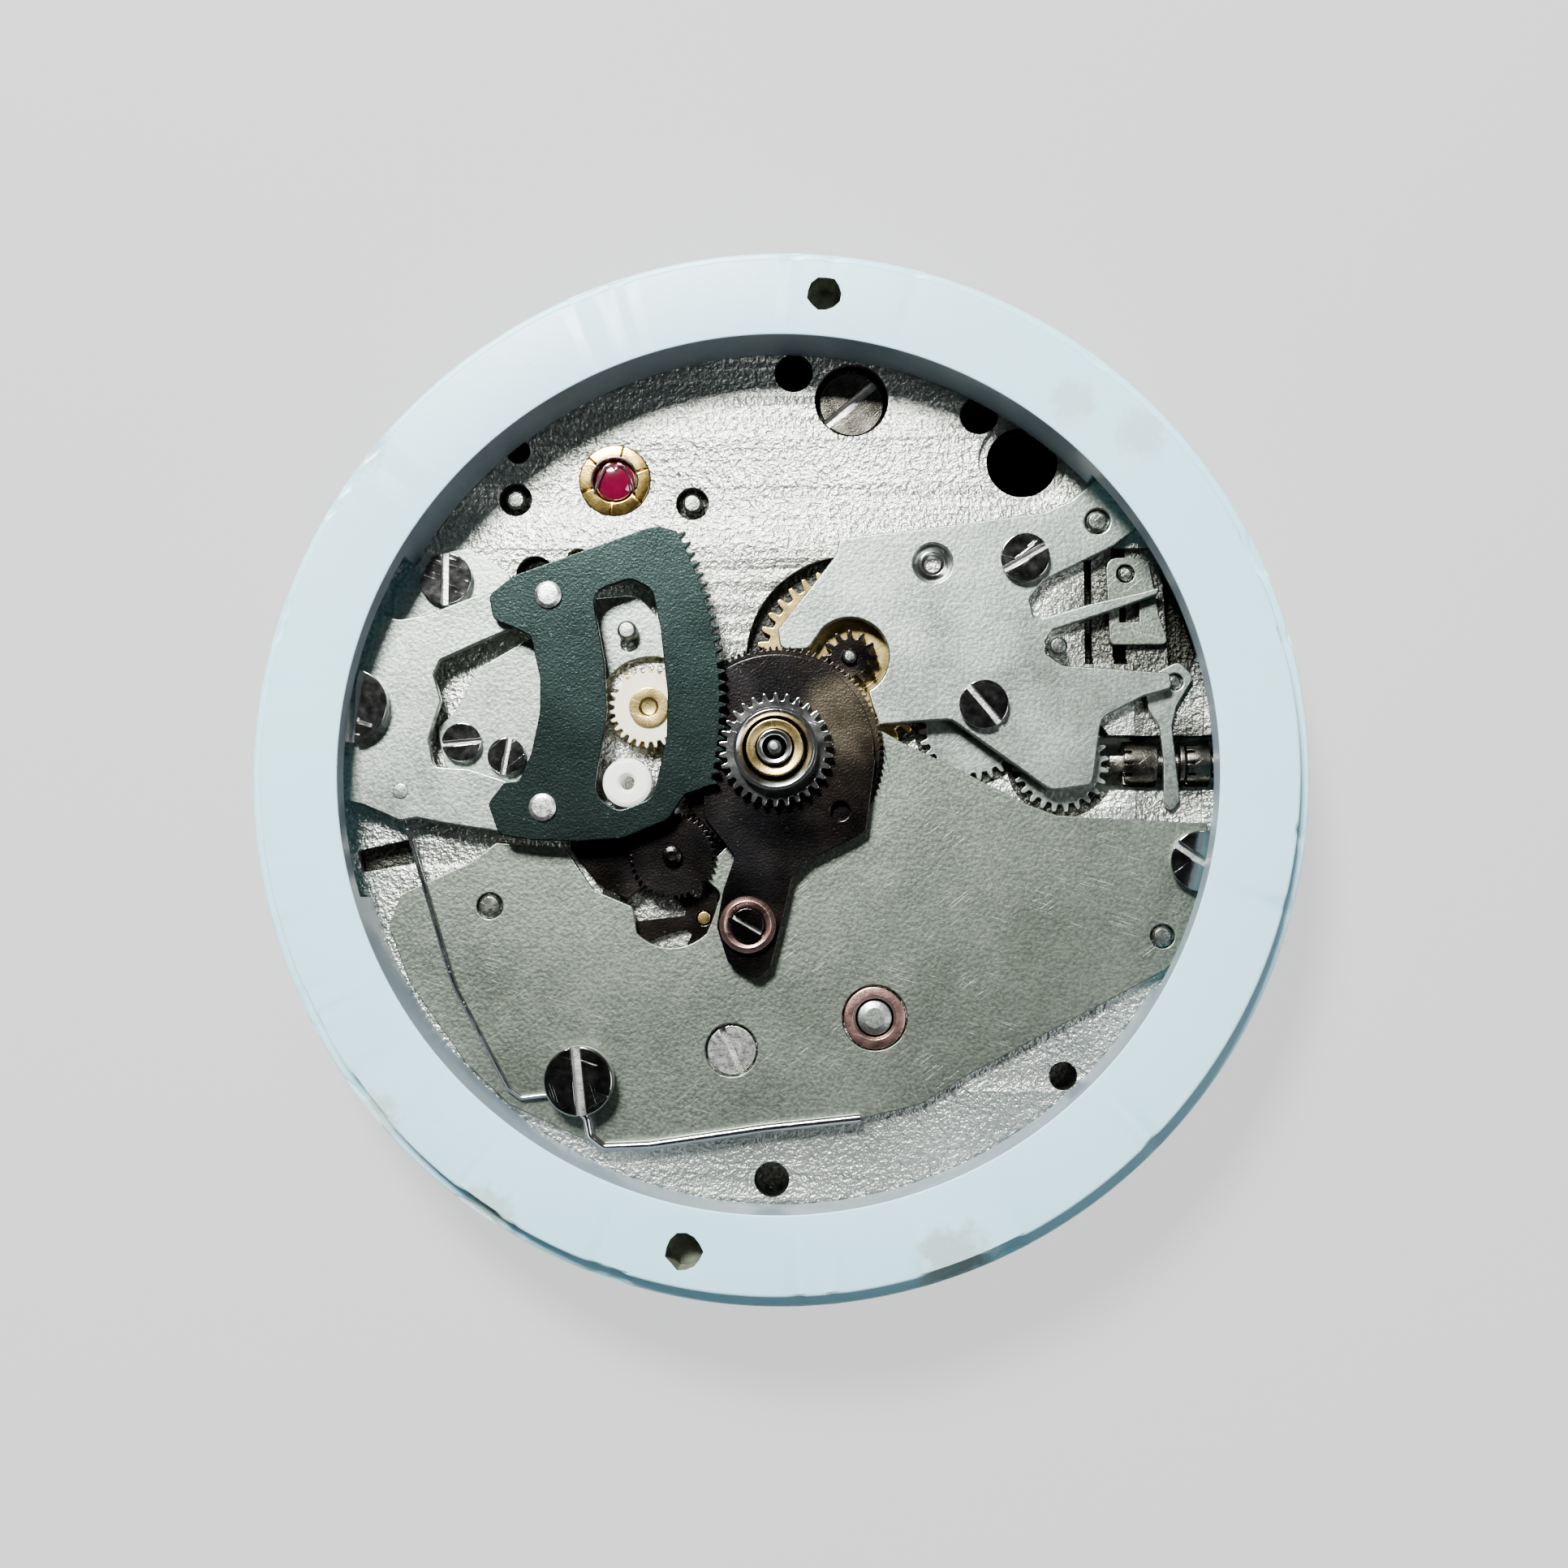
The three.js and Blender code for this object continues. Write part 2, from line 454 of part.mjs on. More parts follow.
// ---- rack spring: a wire bent round its screw ------------------------------
function rackSpring() {
  const z = 3.68;
  const route = [
    [-11.3, -1.0], [-11.5, -1.5], [-11.07, -2.6], [-10.57, -4.1], [-9.95, -6.1], [-9.45, -7.03],
    [-8.68, -8.5], [-8.1, -9.62], [-7.75, -9.9], [-7.3, -9.9], [-6.75, -9.72], [-6.25, -10.0],
    [-5.72, -10.5], [-5.62, -11.0], [-5.2, -11.3], [-3.83, -11.26], [-1.95, -11.0], [-0.4, -10.72],
    [2.52, -10.36],
  ].map(([x, y]) => new THREE.Vector3(x, y, z));
  const section = new THREE.Shape(circle([0, 0], 0.1, 6));
  const extrudePath = new THREE.CatmullRomCurve3(route);
  return new THREE.ExtrudeGeometry(section, { steps: 36, extrudePath, bevelEnabled: false });
}
add("rack_spring", rackSpring(), "polished");

// ---- hands' centre: display pinion, hour wheel, cannon pinion ---------------
add("display_pinion", join(
  prism(toothed(PINION), 4.15, 4.45, [circle(HANDS, 0.98, 16)]),
  turned(HANDS, [[0.98, 4.15], [1.25, 4.4], [1.25, 4.92], [1.18, 4.98], [0.98, 4.98]], 16),
), "polished");

add("hour_wheel", join(
  prism(toothed(hourWheel), 3.3, 3.5, [circle(HANDS, 0.56, 12)]),
  turned(HANDS, [[0.56, 3.3], [0.95, 3.3], [0.95, 3.57], [0.85, 3.6], [0.85, 5.2], [0.56, 5.2]], 12),
), "brass");
add("display_drive_wheel", prism(toothed(fineWheel), 3.6, 3.78, [circle(HANDS, 0.9, 12)]), "black");

add("cannon_pinion", join(
  prism(toothed(cannon), 2.75, 2.97, [circle(HANDS, 0.34, 12)]),
  prism(toothed(cannonWheel), 2.99, 3.16, [circle(HANDS, 0.34, 12)]),
  turned(HANDS, [[0.34, 2.75], [0.7, 2.75], [0.7, 3.2], [0.52, 3.24], [0.52, 5.4], [0.34, 5.4]], 12),
), "polished");
add("minute_wheel", prism(toothed(minuteWheel), 2.75, 2.93, [circle(MINUTE_AT, 0.24, 12)]), "brass");
add("minute_pinion", prism(toothed(minutePinion, BROAD), 2.97, 3.5, [circle(MINUTE_AT, 0.24, 12)]), "black");

// ---- small display wheels -------------------------------------------------
add("small_display_wheel", join(
  prism(toothed(smallWheel), 3.6, 3.78),
  turned(smallWheel.at, [[0, 3.23], [0.2, 3.23], [0.2, 3.6], [0.3, 3.6], [0.3, 4.02], [0, 4.02]], 10),
), "black");

function smallWheelBridge() {
  const edge = outline([
    [-6.2, -1.6, 0.2], [-6.35, -2.3, 0.3], [-5.5, -3.4, 0.4], [-4.55, -3.9, 0.1], [-4.1, -3.5, 0.2],
    [-3.2, -3.45, 0.2], [-2.45, -3.6, 0.1], [-2.6, -2.95, 0.2], [-2.1, -2.15, 0.3], [-3.4, -1.7, 0.4],
  ]);
  return prism(edge, COVER.bottom, COVER.top, [circle(smallWheel.at, 0.24, 12)]);
}
add("small_wheel_bridge", smallWheelBridge(), "black");

const ivoryWheel = wheel(IVORY_AT, 27, 1.16);
add("ivory_wheel", prism(toothed(ivoryWheel), 3.84, 4.0, [circle(IVORY_AT, 0.34, 12)]), "ivory");
add("ivory_wheel_hub", join(
  prism(toothed(ivoryPinion), 3.3, 3.5),
  turned(IVORY_AT, [[0, 3.23], [0.2, 3.23], [0.2, 3.3], [0.31, 3.4], [0.31, 4.02], [0.6, 4.02],
    [0.6, 4.12], [0.16, 4.12], [0.12, 4.0], [0, 4.0]], 12),
), "brass");

// ---- keyless work ---------------------------------------------------------
add("intermediate_setting_wheel", prism(toothed(middleWheel), 2.75, 2.93), "steel");
add("setting_wheel", prism(toothed(settingWheel), 2.75, 2.93), "steel");
const STEM_SQUARE = 0.24;

add("winding_stem", join(
  turnedOnStem([[0, 9.9], [0.2, 9.9], [0.2, 10.3], [0, 10.3]], 8),
  box(10.2, 13.4, STEM.y - STEM_SQUARE, STEM.y + STEM_SQUARE, STEM.z - STEM_SQUARE, STEM.z + STEM_SQUARE),
  turnedOnStem([[0, 13.3], [0.42, 13.3], [0.42, 15.0], [0, 15.0]], 10),
), "polished");

// Crown teeth cut in the end face of a sleeve on the stem square.
function sleeve(x0, x1, r, groove) {
  const hole = STEM_SQUARE + 2 * GAP;
  const waist = groove ? [[r, x0 + 1.0], [r * 0.6, x0 + 1.0], [r * 0.6, x1 - 0.15], [r, x1 - 0.15]] : [];
  const body = turnedOnStem([[0, x0], [r, x0], ...waist, [r, x1], [0, x1]], 12);
  const bore4 = box(x0 - 1, x1 + 1, STEM.y - hole, STEM.y + hole, STEM.z - hole, STEM.z + hole);
  const notches = Array.from({ length: 6 }, (_, i) => {
    const notch = box(x0 - 1, x0 + 0.22, -0.11, 0.11, 0.4, 1);
    return notch.rotateX((Math.PI * i) / 3).translate(0, STEM.y, STEM.z);
  });
  return cut(body, bore4, ...notches);
}
add("sliding_pinion", sleeve(10.6, 12.45, 0.7, true), "polished");
add("winding_pinion", sleeve(12.5, 13.22, 0.7, false), "polished");

function yoke() {
  const edge = outline([
    [11.25, 2.35], [11.35, 1.85], [11.66, 1.38], [11.76, 0.4], [11.76, -0.95], [12.0, -1.25, 0.15],
    [12.25, -0.9], [12.2, -0.15], [12.05, 1.38], [12.2, 2.0], [12.75, 2.9, 0.3], [12.3, 3.4, 0.3],
    [11.3, 2.9],
  ]);
  return prism(edge, 2.98, 3.18, [circle(YOKE_AT, 0.26, 10)]);
}
add("yoke", yoke(), "silver");
function settingLever() {
  const edge = outline([
    [10.2, 3.9, 0.2], [10.1, 6.6, 0.4], [11.4, 6.6, 0.4], [11.7, 4.8], [12.0, 3.9, 0.2],
  ]);
  const window = outline([[10.5, 4.6], [11.1, 4.6], [11.1, 5.3], [10.5, 5.3]]);
  return prism(edge, 2.98, 3.2, [circle(LEVER_AT, 0.28, 10), window]);
}
add("setting_lever", settingLever(), "steel");

// ---- going train on the back ----------------------------------------------
const arbor = (at, r, bottom, top) => disc(at, r, bottom, top, 8);

add("barrel", join(
  prism(toothed(barrel), 1.9, 2.1, [circle(BARREL_AT, 0.68, 16)]),
  disc(BARREL_AT, 4.75, 1.25, 1.92, 24, [circle(BARREL_AT, 0.68, 16)]),
), "brass");
add("great_wheel", join(
  prism(toothed(greatWheel), 1.02, 1.16),
  prism(toothed(greatPinion), 1.86, 2.14),
  arbor(GREAT_AT, 0.2, 0.98, 3.18),
), "brass");
add("cannon_drive_wheel", prism(toothed(driveWheel), 2.99, 3.16, [
  circle(GREAT_AT, 0.24, 12),
  ...[0, 1, 2, 3].map((i) => outline([
    ...arc(GREAT_AT, 2.4, 90 * i + 8, 90 * i + 82, 4), ...arc(GREAT_AT, 0.75, 90 * i + 70, 90 * i + 20, 2),
  ])),
]), "black");
add("third_wheel", join(
  prism(toothed(thirdPinion), 1.0, 1.3),
  prism(toothed(thirdWheel), 1.36, 1.5),
  arbor(THIRD_AT, 0.18, 0.98, 2.17),
), "brass");
add("sweep_seconds_wheel", join(
  prism(toothed(fourthPinion), 1.33, 1.53),
  prism(toothed(fourthWheel), 1.66, 1.8),
  arbor(HANDS, 0.17, 0.98, 2.6),
  turned(HANDS, [[0, 2.5], [0.2, 2.5], [0.2, 5.4], [0.13, 5.45], [0.13, 5.7], [0, 5.7]], 10),
), "steel");

// Fifteen club teeth leaning forward.
function escapeWheel() {
  const tooth = [[0, 2.34], [0.2, 2.26], [0.3, 1.8], [0.92, 1.8]];
  const step = (2 * Math.PI) / 15;
  const rim = Array.from({ length: 15 }, (_, i) =>
    tooth.map(([share, r]) => v2(polar(ESCAPE_AT, r, step * (i + share))))).flat();
  const blank = prism(rim, 1.06, 1.18);
  return join(blank, prism(toothed(escapePinion), 1.6, 1.84), arbor(ESCAPE_AT, 0.14, 0.98, 2.17));
}
add("escape_wheel", escapeWheel(), "steel");

// Lever in its own frame: +x towards the balance, pallets straddling the escape wheel.
function palletFork() {
  const lever = outline([
    [-0.95, -1.45], [-0.75, -1.6], [-0.3, -0.3, 0.2], [0.4, -0.25], [2.1, -0.12], [2.6, -0.32],
    [2.62, -0.14], [2.35, -0.02], [2.62, 0.14], [2.6, 0.32], [2.1, 0.12], [0.4, 0.25], [-0.3, 0.3, 0.2],
    [-0.75, 1.6], [-0.95, 1.45], [-0.5, 0],
  ]);
  const body = prism(lever, 1.22, 1.34).rotateZ(toBalance).translate(PALLET_AT[0], PALLET_AT[1], 0);
  return join(body, arbor(PALLET_AT, 0.12, 0.98, 2.17));
}
add("pallet_fork", palletFork(), "steel");

function balanceWheel() {
  const rim = turned(BALANCE_AT, [[2.4, 1.62], [2.85, 1.62], [2.85, 1.95], [2.4, 1.95]], 24);
  const spoke = box(-2.5, 2.5, -0.16, 0.16, 1.7, 1.85).translate(BALANCE_AT[0], BALANCE_AT[1], 0);
  const staff = turned(BALANCE_AT, [
    [0, 0.99], [0.12, 0.99], [0.12, 1.5], [0.35, 1.5], [0.35, 1.9], [0.12, 1.95], [0.12, 2.75], [0, 2.75],
  ], 12);
  return join(rim, spoke, staff);
}
add("balance_wheel", balanceWheel(), "brass");

// ---- winding work on the back ----------------------------------------------
add("ratchet_wheel", join(
  prism(toothed(ratchet), 0.3, 0.5),
  arbor(BARREL_AT, 0.52, 0.4, 3.6),
), "steel");
add("crown_wheel", join(
  prism(toothed(crownGear), 0.3, 0.5),
  arbor(CROWN_AT, 0.5, 0.4, 1.6),
  prism(toothed(wheel(CROWN_AT, 24, 3.55)), 1.5, 1.74),
), "steel");

const CLICK_AT = [9.6, -8.9];

function click() {
  const edge = outline([
    [9.1, -9.3, 0.3], [10.2, -9.4, 0.3], [10.1, -8.5, 0.3], [8.95, -7.35], [8.68, -7.55],
  ]);
  return prism(edge, 0.3, 0.5, [circle(CLICK_AT, 0.3, 12)]);
}
add("click", click(), "steel");

// ---- bridges on the back ----------------------------------------------------
const BRIDGE = { bottom: 0.55, top: 0.95 };
screw("barrel_bridge_screw", [11.9, 2.6], 0.8, 0.22, BRIDGE.bottom - 0.02, 1.1, 15, ["barrel"], { up: -1 });
screw("balance_cock_screw", [-10.6, 7.2], 0.8, 0.22, BRIDGE.bottom - 0.02, 1.1, 35, ["cock"], { up: -1 });

// A bridge: a plate at the back with feet that reach up to the main plate.
function bridge(edge, holes, feet) {
  const plate = prism(edge, BRIDGE.bottom, BRIDGE.top, holes);
  const foot = ([x, y, r, hole]) =>
    disc([x, y], r, BRIDGE.bottom + 0.1, PLATE.bottom - GAP, 14, hole ? [circle([x, y], hole, 12)] : []);
  return join(plate, ...feet.map(foot));
}

function barrelBridge() {
  const edge = outline([
    ...arc([0, 0], 13.8, -125, 18, 14), [8.5, 2.6, 1.2], [4.6, -1.4, 1.2], [-1.6, -8.2, 1.5],
  ]);
  const holes = [circle(BARREL_AT, 0.6, 14), circle(CROWN_AT, 0.58, 14), ...bored.barrel];
  const plate = bridge(edge, holes, [[11.9, 2.6, 1.1, 0.46], [-6.6, -11.2, 0.9, 0]]);
  return join(plate, disc(CLICK_AT, 0.26, 0.28, 0.7, 10));
}
add("barrel_bridge", barrelBridge(), "silver");

function trainBridge() {
  const edge = outline([
    ...arc([0, 0], 13.8, 220, 190, 8), [-9.0, 1.0, 1.5], [-5.2, 4.2, 1.0], [-2.4, 5.9, 0.8], [1.0, 10.6, 0.6],
    [1.2, 12.8, 0.6], [3.6, 12.7, 0.6], [3.4, 10.2, 0.6], [2.2, 2.2, 1.0], [1.4, -1.6, 1.0],
    [-2.2, -6.4, 1.0],
    [-6.2, -7.2, 1.0],
  ]);
  return bridge(edge, bored.train, [[-11.2, -3.4, 1.0, 0], [2.3, 11.62, 0.95, 0.62]]);
}
add("train_bridge", trainBridge(), "silver");

function balanceCock() {
  const edge = outline([
    [-5.0, 8.0, 0.6], [-3.8, 9.4, 0.6], [-5.2, 10.4, 0.8], [-9.0, 9.6, 0.8], [-11.7, 7.0, 0.8], [-10.8, 5.6, 0.8],
  ]);
  return bridge(edge, bored.cock, [[-10.6, 7.2, 1.0, 0.46]]);
}
add("balance_cock", balanceCock(), "silver");

export default movement;
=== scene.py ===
"""The look of a watch movement, dial side up, in its plastic movement ring."""

import json
import math
import random

import bmesh
import bpy
from mathutils import Matrix, Vector, noise

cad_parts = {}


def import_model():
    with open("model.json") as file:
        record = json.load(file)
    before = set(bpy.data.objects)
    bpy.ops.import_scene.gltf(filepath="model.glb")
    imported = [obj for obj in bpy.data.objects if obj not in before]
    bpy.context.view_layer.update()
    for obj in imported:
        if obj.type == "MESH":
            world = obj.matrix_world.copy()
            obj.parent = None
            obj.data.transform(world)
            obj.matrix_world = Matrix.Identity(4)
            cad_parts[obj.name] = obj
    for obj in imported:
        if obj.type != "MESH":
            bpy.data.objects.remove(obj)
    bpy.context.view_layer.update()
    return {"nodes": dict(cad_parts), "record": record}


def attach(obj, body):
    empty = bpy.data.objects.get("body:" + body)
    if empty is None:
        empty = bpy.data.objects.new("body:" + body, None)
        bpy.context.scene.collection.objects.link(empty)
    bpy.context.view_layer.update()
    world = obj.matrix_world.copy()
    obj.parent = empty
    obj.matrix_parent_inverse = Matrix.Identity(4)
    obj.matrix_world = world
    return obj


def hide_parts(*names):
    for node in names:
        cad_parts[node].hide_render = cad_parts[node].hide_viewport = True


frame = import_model()
MM = 0.001
DENSE = 2

# ---------------------------------------------------------------- layout, in millimetres
HANDS = (0, 0.6)
MINUTE_AT = (2.225, 3.525)
IVORY_AT = (-3.88, 1.95)
PIVOT = (-12.925, 2.0)
SETTING_AT = (8.675, 0.275)
BARREL_AT = (2.95, -7.45)
BALANCE_AT = (-5.075, 9.15)
LEVER_AT = (10.7, 6.1)
YOKE_AT = (12.15, 2.75)
CROWN_AT = (9.9, -1.9)
RETAINING_AT = (-0.85, -4.65)
RECESSED_AT = (-1.38, -8.43)
BRIDGE_SCREW_AT = (2.3, 11.62)
CLAMP_HOLE_AT = (7.58, 9.65)
CENTRE_BUSH_AT = (4.78, 6.4)
UPPER_DOWELS = ((-8.18, 8.57), (-2.65, 8.4))
COVER_DOWELS = ((-8.78, -4.08), (11.6, -5.0))
SETTING_DOWEL = (9.81, 7.65)
STEM_Y, STEM_Z = 0.275, 2.5
STEM_FRAME = Matrix.Translation((0, STEM_Y, STEM_Z)) @ Matrix.Rotation(math.pi / 2, 4, "Y")
PLATE_R, PLATE_BOTTOM, PLATE_TOP = 14.0, 2.2, 3.2
RING_TOP = 5.4
RACK_SPAN = 12.98


def polar(at, r, a):
    return (at[0] + r * math.cos(a), at[1] + r * math.sin(a))


def heading(a, b):
    return math.atan2(b[1] - a[1], b[0] - a[0])


def distance(a, b):
    return math.hypot(b[0] - a[0], b[1] - a[1])


def meet(a, ra, b, rb, side):
    """The point ra from a and rb from b, on the given side of the line from a to b."""
    d = distance(a, b)
    along = (ra * ra - rb * rb + d * d) / (2 * d)
    off = math.sqrt(ra * ra - along * along)
    return polar(polar(a, along, heading(a, b)), off, heading(a, b) + side * math.pi / 2)


def gear(at, teeth, pitch, phase=0.0):
    return {"at": at, "teeth": teeth, "pitch": pitch, "phase": phase, "module": 2 * pitch / teeth}


def mate(a, at, teeth, pitch):
    """A gear at that point whose gap meets a tooth of gear a."""
    way = heading(a["at"], at)
    step = 2 * math.pi / a["teeth"]
    past = (way - a["phase"]) % step
    return gear(at, teeth, pitch, way + math.pi + past * a["teeth"] / teeth + math.pi / teeth)


MOTION = distance(HANDS, MINUTE_AT)
minute_wheel = gear(MINUTE_AT, 36, MOTION * 0.75)
cannon = mate(minute_wheel, HANDS, 12, MOTION * 0.25)
minute_pinion = gear(MINUTE_AT, 12, MOTION * 0.2)
hour_wheel = mate(minute_pinion, HANDS, 48, MOTION * 0.8)
fine_wheel = gear(HANDS, 100, 3.2)
small_wheel = mate(fine_wheel, polar(HANDS, 4.48, heading(HANDS, (-3.25, -2.65))), 40, 1.28)
ivory_pinion = mate(hour_wheel, IVORY_AT, 19, distance(HANDS, IVORY_AT) - hour_wheel["pitch"])
display_pinion = gear(HANDS, 30, RACK_SPAN / 8, heading(HANDS, PIVOT))
rack_gear = mate(display_pinion, PIVOT, 210, RACK_SPAN * 7 / 8)
middle_at = meet(MINUTE_AT, minute_wheel["pitch"] + 1.55, SETTING_AT, 1.378 + 1.55, -1)
middle_wheel = mate(minute_wheel, middle_at, 27, 1.55)
setting_wheel = mate(middle_wheel, SETTING_AT, 24, 1.378)
barrel = gear(BARREL_AT, 63, 5.25)
great_pinion = mate(barrel, (-2.25, -4.45), 9, 0.75)
GREAT_AT = great_pinion["at"]
great_wheel = gear(GREAT_AT, 54, 3.465)
THIRD_AT = meet(GREAT_AT, 3.85, HANDS, 3.95, 1)
third_pinion = mate(great_wheel, THIRD_AT, 6, 0.385)
third_wheel = gear(THIRD_AT, 60, 3.485)
fourth_wheel = gear(HANDS, 60, 3.6363)
drive_wheel = gear(GREAT_AT, 27, distance(GREAT_AT, HANDS) * 27 / 51)
cannon_wheel = mate(drive_wheel, HANDS, 24, distance(GREAT_AT, HANDS) * 24 / 51)
WINDING = distance(BARREL_AT, CROWN_AT)
ratchet = gear(BARREL_AT, 45, WINDING * 0.6)
crown_gear = mate(ratchet, CROWN_AT, 30, WINDING * 0.4)


# ---------------------------------------------------------------- outlines
def circle(at, r, n=64):
    return [polar(at, r, 2 * math.pi * i / n) for i in range(n)]


def arc(at, r, first, last, n):
    return [polar(at, r, math.radians(first + (last - first) * i / n)) for i in range(n + 1)]


def outline(corners, n=8):
    """A closed outline; a corner (x, y, radius) is rounded with that radius."""
    points = []
    for i, c in enumerate(corners):
        here = Vector(c[:2])
        if len(c) < 3:
            points.append(tuple(here))
            continue
        before = (Vector(corners[i - 1][:2]) - here).normalized()
        after = (Vector(corners[(i + 1) % len(corners)][:2]) - here).normalized()
        reach = c[2] / math.tan(before.angle(after) / 2)
        a, b = here + before * reach, here + after * reach
        for k in range(n + 1):
            t = k / n
            points.append(tuple(a * (1 - t) ** 2 + here * 2 * t * (1 - t) + b * t * t))
    return points


# Teeth as (share of a tooth pitch, height in modules from the pitch circle).
FINE = ((-0.30, -1.15), (-0.20, -0.2), (-0.10, 0.68), (0, 0.85), (0.10, 0.68), (0.20, -0.2), (0.30, -1.15),
        (0.5, -1.2))
BROAD = ((-0.22, -0.2), (-0.15, 0.7), (-0.05, 0.95), (0.05, 0.95), (0.15, 0.7), (0.22, -0.2), (0.28, -1.1),
         (0.5, -1.25), (0.72, -1.1))


def teeth_along(g, first, last, profile=FINE):
    step = 2 * math.pi / g["teeth"]
    return [
        polar(g["at"], g["pitch"] + h * g["module"], g["phase"] + step * (i + share))
        for i in range(first, last)
        for share, h in profile
    ]


def toothed(g, profile=FINE):
    return teeth_along(g, 0, g["teeth"], profile)


# ---------------------------------------------------------------- meshes, built in millimetres
def mesh_of(obj):
    bpy.context.view_layer.update()
    made = bpy.data.meshes.new_from_object(obj.evaluated_get(bpy.context.evaluated_depsgraph_get()))
    bpy.data.objects.remove(obj)
    return made


def linked(name, data):
    obj = bpy.data.objects.new(name, data)
    bpy.context.scene.collection.objects.link(obj)
    return obj


def slab(rings, bottom, top, bevel=0.03, steps=2):
    """A flat solid between two heights, edges rounded: the first ring is its edge, the others its holes."""
    curve = bpy.data.curves.new("slab", "CURVE")
    curve.dimensions = "2D"
    curve.fill_mode = "BOTH"
    for ring in rings:
        spline = curve.splines.new("POLY")
        spline.points.add(len(ring) - 1)
        for point, (x, y) in zip(spline.points, ring):
            point.co = (x, y, 0, 1)
        spline.use_cyclic_u = True
    curve.extrude = (top - bottom) / 2 - bevel
    curve.bevel_depth = bevel
    curve.bevel_resolution = steps
    curve.offset = -bevel
    made = mesh_of(linked("slab", curve))
    made.transform(Matrix.Translation((0, 0, (top + bottom) / 2)))
    return made


def turned(at, corners, n=72, arc_steps=4):
    """A solid of revolution about a vertical axis from a closed profile of (radius, z, rounding)."""
    profile = outline(corners, arc_steps)
    bm = bmesh.new()
    rows = []
    for i in range(n):
        a = 2 * math.pi * i / n
        rows.append([bm.verts.new((r * math.cos(a), r * math.sin(a), z)) for r, z in profile])
    for i in range(n):
        one, two = rows[i], rows[(i + 1) % n]
        for k in range(len(profile)):
            m = (k + 1) % len(profile)
            if profile[k][0] < 1e-6 and profile[m][0] < 1e-6:
                continue
            bm.faces.new((one[k], two[k], two[m], one[m]))
    bmesh.ops.remove_doubles(bm, verts=bm.verts, dist=1e-5)
    bmesh.ops.recalc_face_normals(bm, faces=bm.faces)
    made = bpy.data.meshes.new("turned")
    bm.to_mesh(made)
    bm.free()
    made.transform(Matrix.Translation((at[0], at[1], 0)))
    return made


def block(x0, x1, y0, y1, z0, z1, bevel=0.02, turn=0.0, at=(0, 0, 0)):
    """A block with rounded edges, turned by degrees about its own origin and then moved."""
    bm = bmesh.new()
    bmesh.ops.create_cube(bm, size=1)
    for v in bm.verts:
        v.co = Vector(((x0 + x1) / 2 + v.co.x * (x1 - x0), (y0 + y1) / 2 + v.co.y * (y1 - y0),
                       (z0 + z1) / 2 + v.co.z * (z1 - z0)))
    if bevel:
        bmesh.ops.bevel(bm, geom=bm.edges[:], offset=bevel, segments=2, profile=0.5, affect="EDGES")
    made = bpy.data.meshes.new("block")
    bm.to_mesh(made)
    bm.free()
    made.transform(Matrix.Translation(at) @ Matrix.Rotation(math.radians(turn), 4, "Z"))
    return made


def rounded_route(route, n=8):
    """An open route of (x, y, z, bend radius) as points, its corners rounded."""
    points = [Vector(route[0][:3])]
    for i in range(1, len(route) - 1):
        here, r = Vector(route[i][:3]), route[i][3]
        before = (Vector(route[i - 1][:3]) - here).normalized()
        after = (Vector(route[i + 1][:3]) - here).normalized()
        reach = r / math.tan(before.angle(after) / 2)
        a, b = here + before * reach, here + after * reach
        for k in range(n + 1):
            t = k / n
            points.append(a * (1 - t) ** 2 + here * 2 * t * (1 - t) + b * t * t)
    points.append(Vector(route[-1][:3]))
    return points


def wire(points, r, n=10):
    """A round wire through points, with capped ends."""
    curve = bpy.data.curves.new("wire", "CURVE")
    curve.dimensions = "3D"
    curve.bevel_depth = r
    curve.bevel_resolution = n // 2
    curve.use_fill_caps = True
    spline = curve.splines.new("POLY")
    spline.points.add(len(points) - 1)
    for point, co in zip(spline.points, points):
        point.co = (*co, 1)
    return mesh_of(linked("wire", curve))


def cut(base, cutters, bevel=0.0, angle=40, segments=2):
    """The base with the cutters taken out of it, and its sharp edges rounded."""
    obj = linked("cut", base)
    group = bpy.data.collections.new("cutters")
    bpy.context.scene.collection.children.link(group)
    tools = [bpy.data.objects.new("tool", c) for c in cutters]
    for tool in tools:
        group.objects.link(tool)
    boolean = obj.modifiers.new("cut", "BOOLEAN")
    boolean.operand_type = "COLLECTION"
    boolean.collection = group
    boolean.operation = "DIFFERENCE"
    boolean.solver = "EXACT"
    if bevel:
        rounding = obj.modifiers.new("edge", "BEVEL")
        rounding.width = bevel
        rounding.segments = segments
        rounding.limit_method = "ANGLE"
        rounding.angle_limit = math.radians(angle)
        rounding.use_clamp_overlap = True
    made = mesh_of(obj)
    for tool in tools:
        bpy.data.objects.remove(tool)
    bpy.data.collections.remove(group)
    return made


def joined(*meshes):
    bm = bmesh.new()
    for m in meshes:
        bm.from_mesh(m)
    made = bpy.data.meshes.new("joined")
    bm.to_mesh(made)
    bm.free()
    return made


def dressed(*pairs):
    """One mesh of several (mesh, finish) pairs."""
    bm = bmesh.new()
    for k, (m, _) in enumerate(pairs):
        for p in m.polygons:
            p.material_index = k
        bm.from_mesh(m)
    both = bpy.data.meshes.new("dressed")
    bm.to_mesh(both)
    bm.free()
    for _, finish in pairs:
        both.materials.append(finish)
    return both


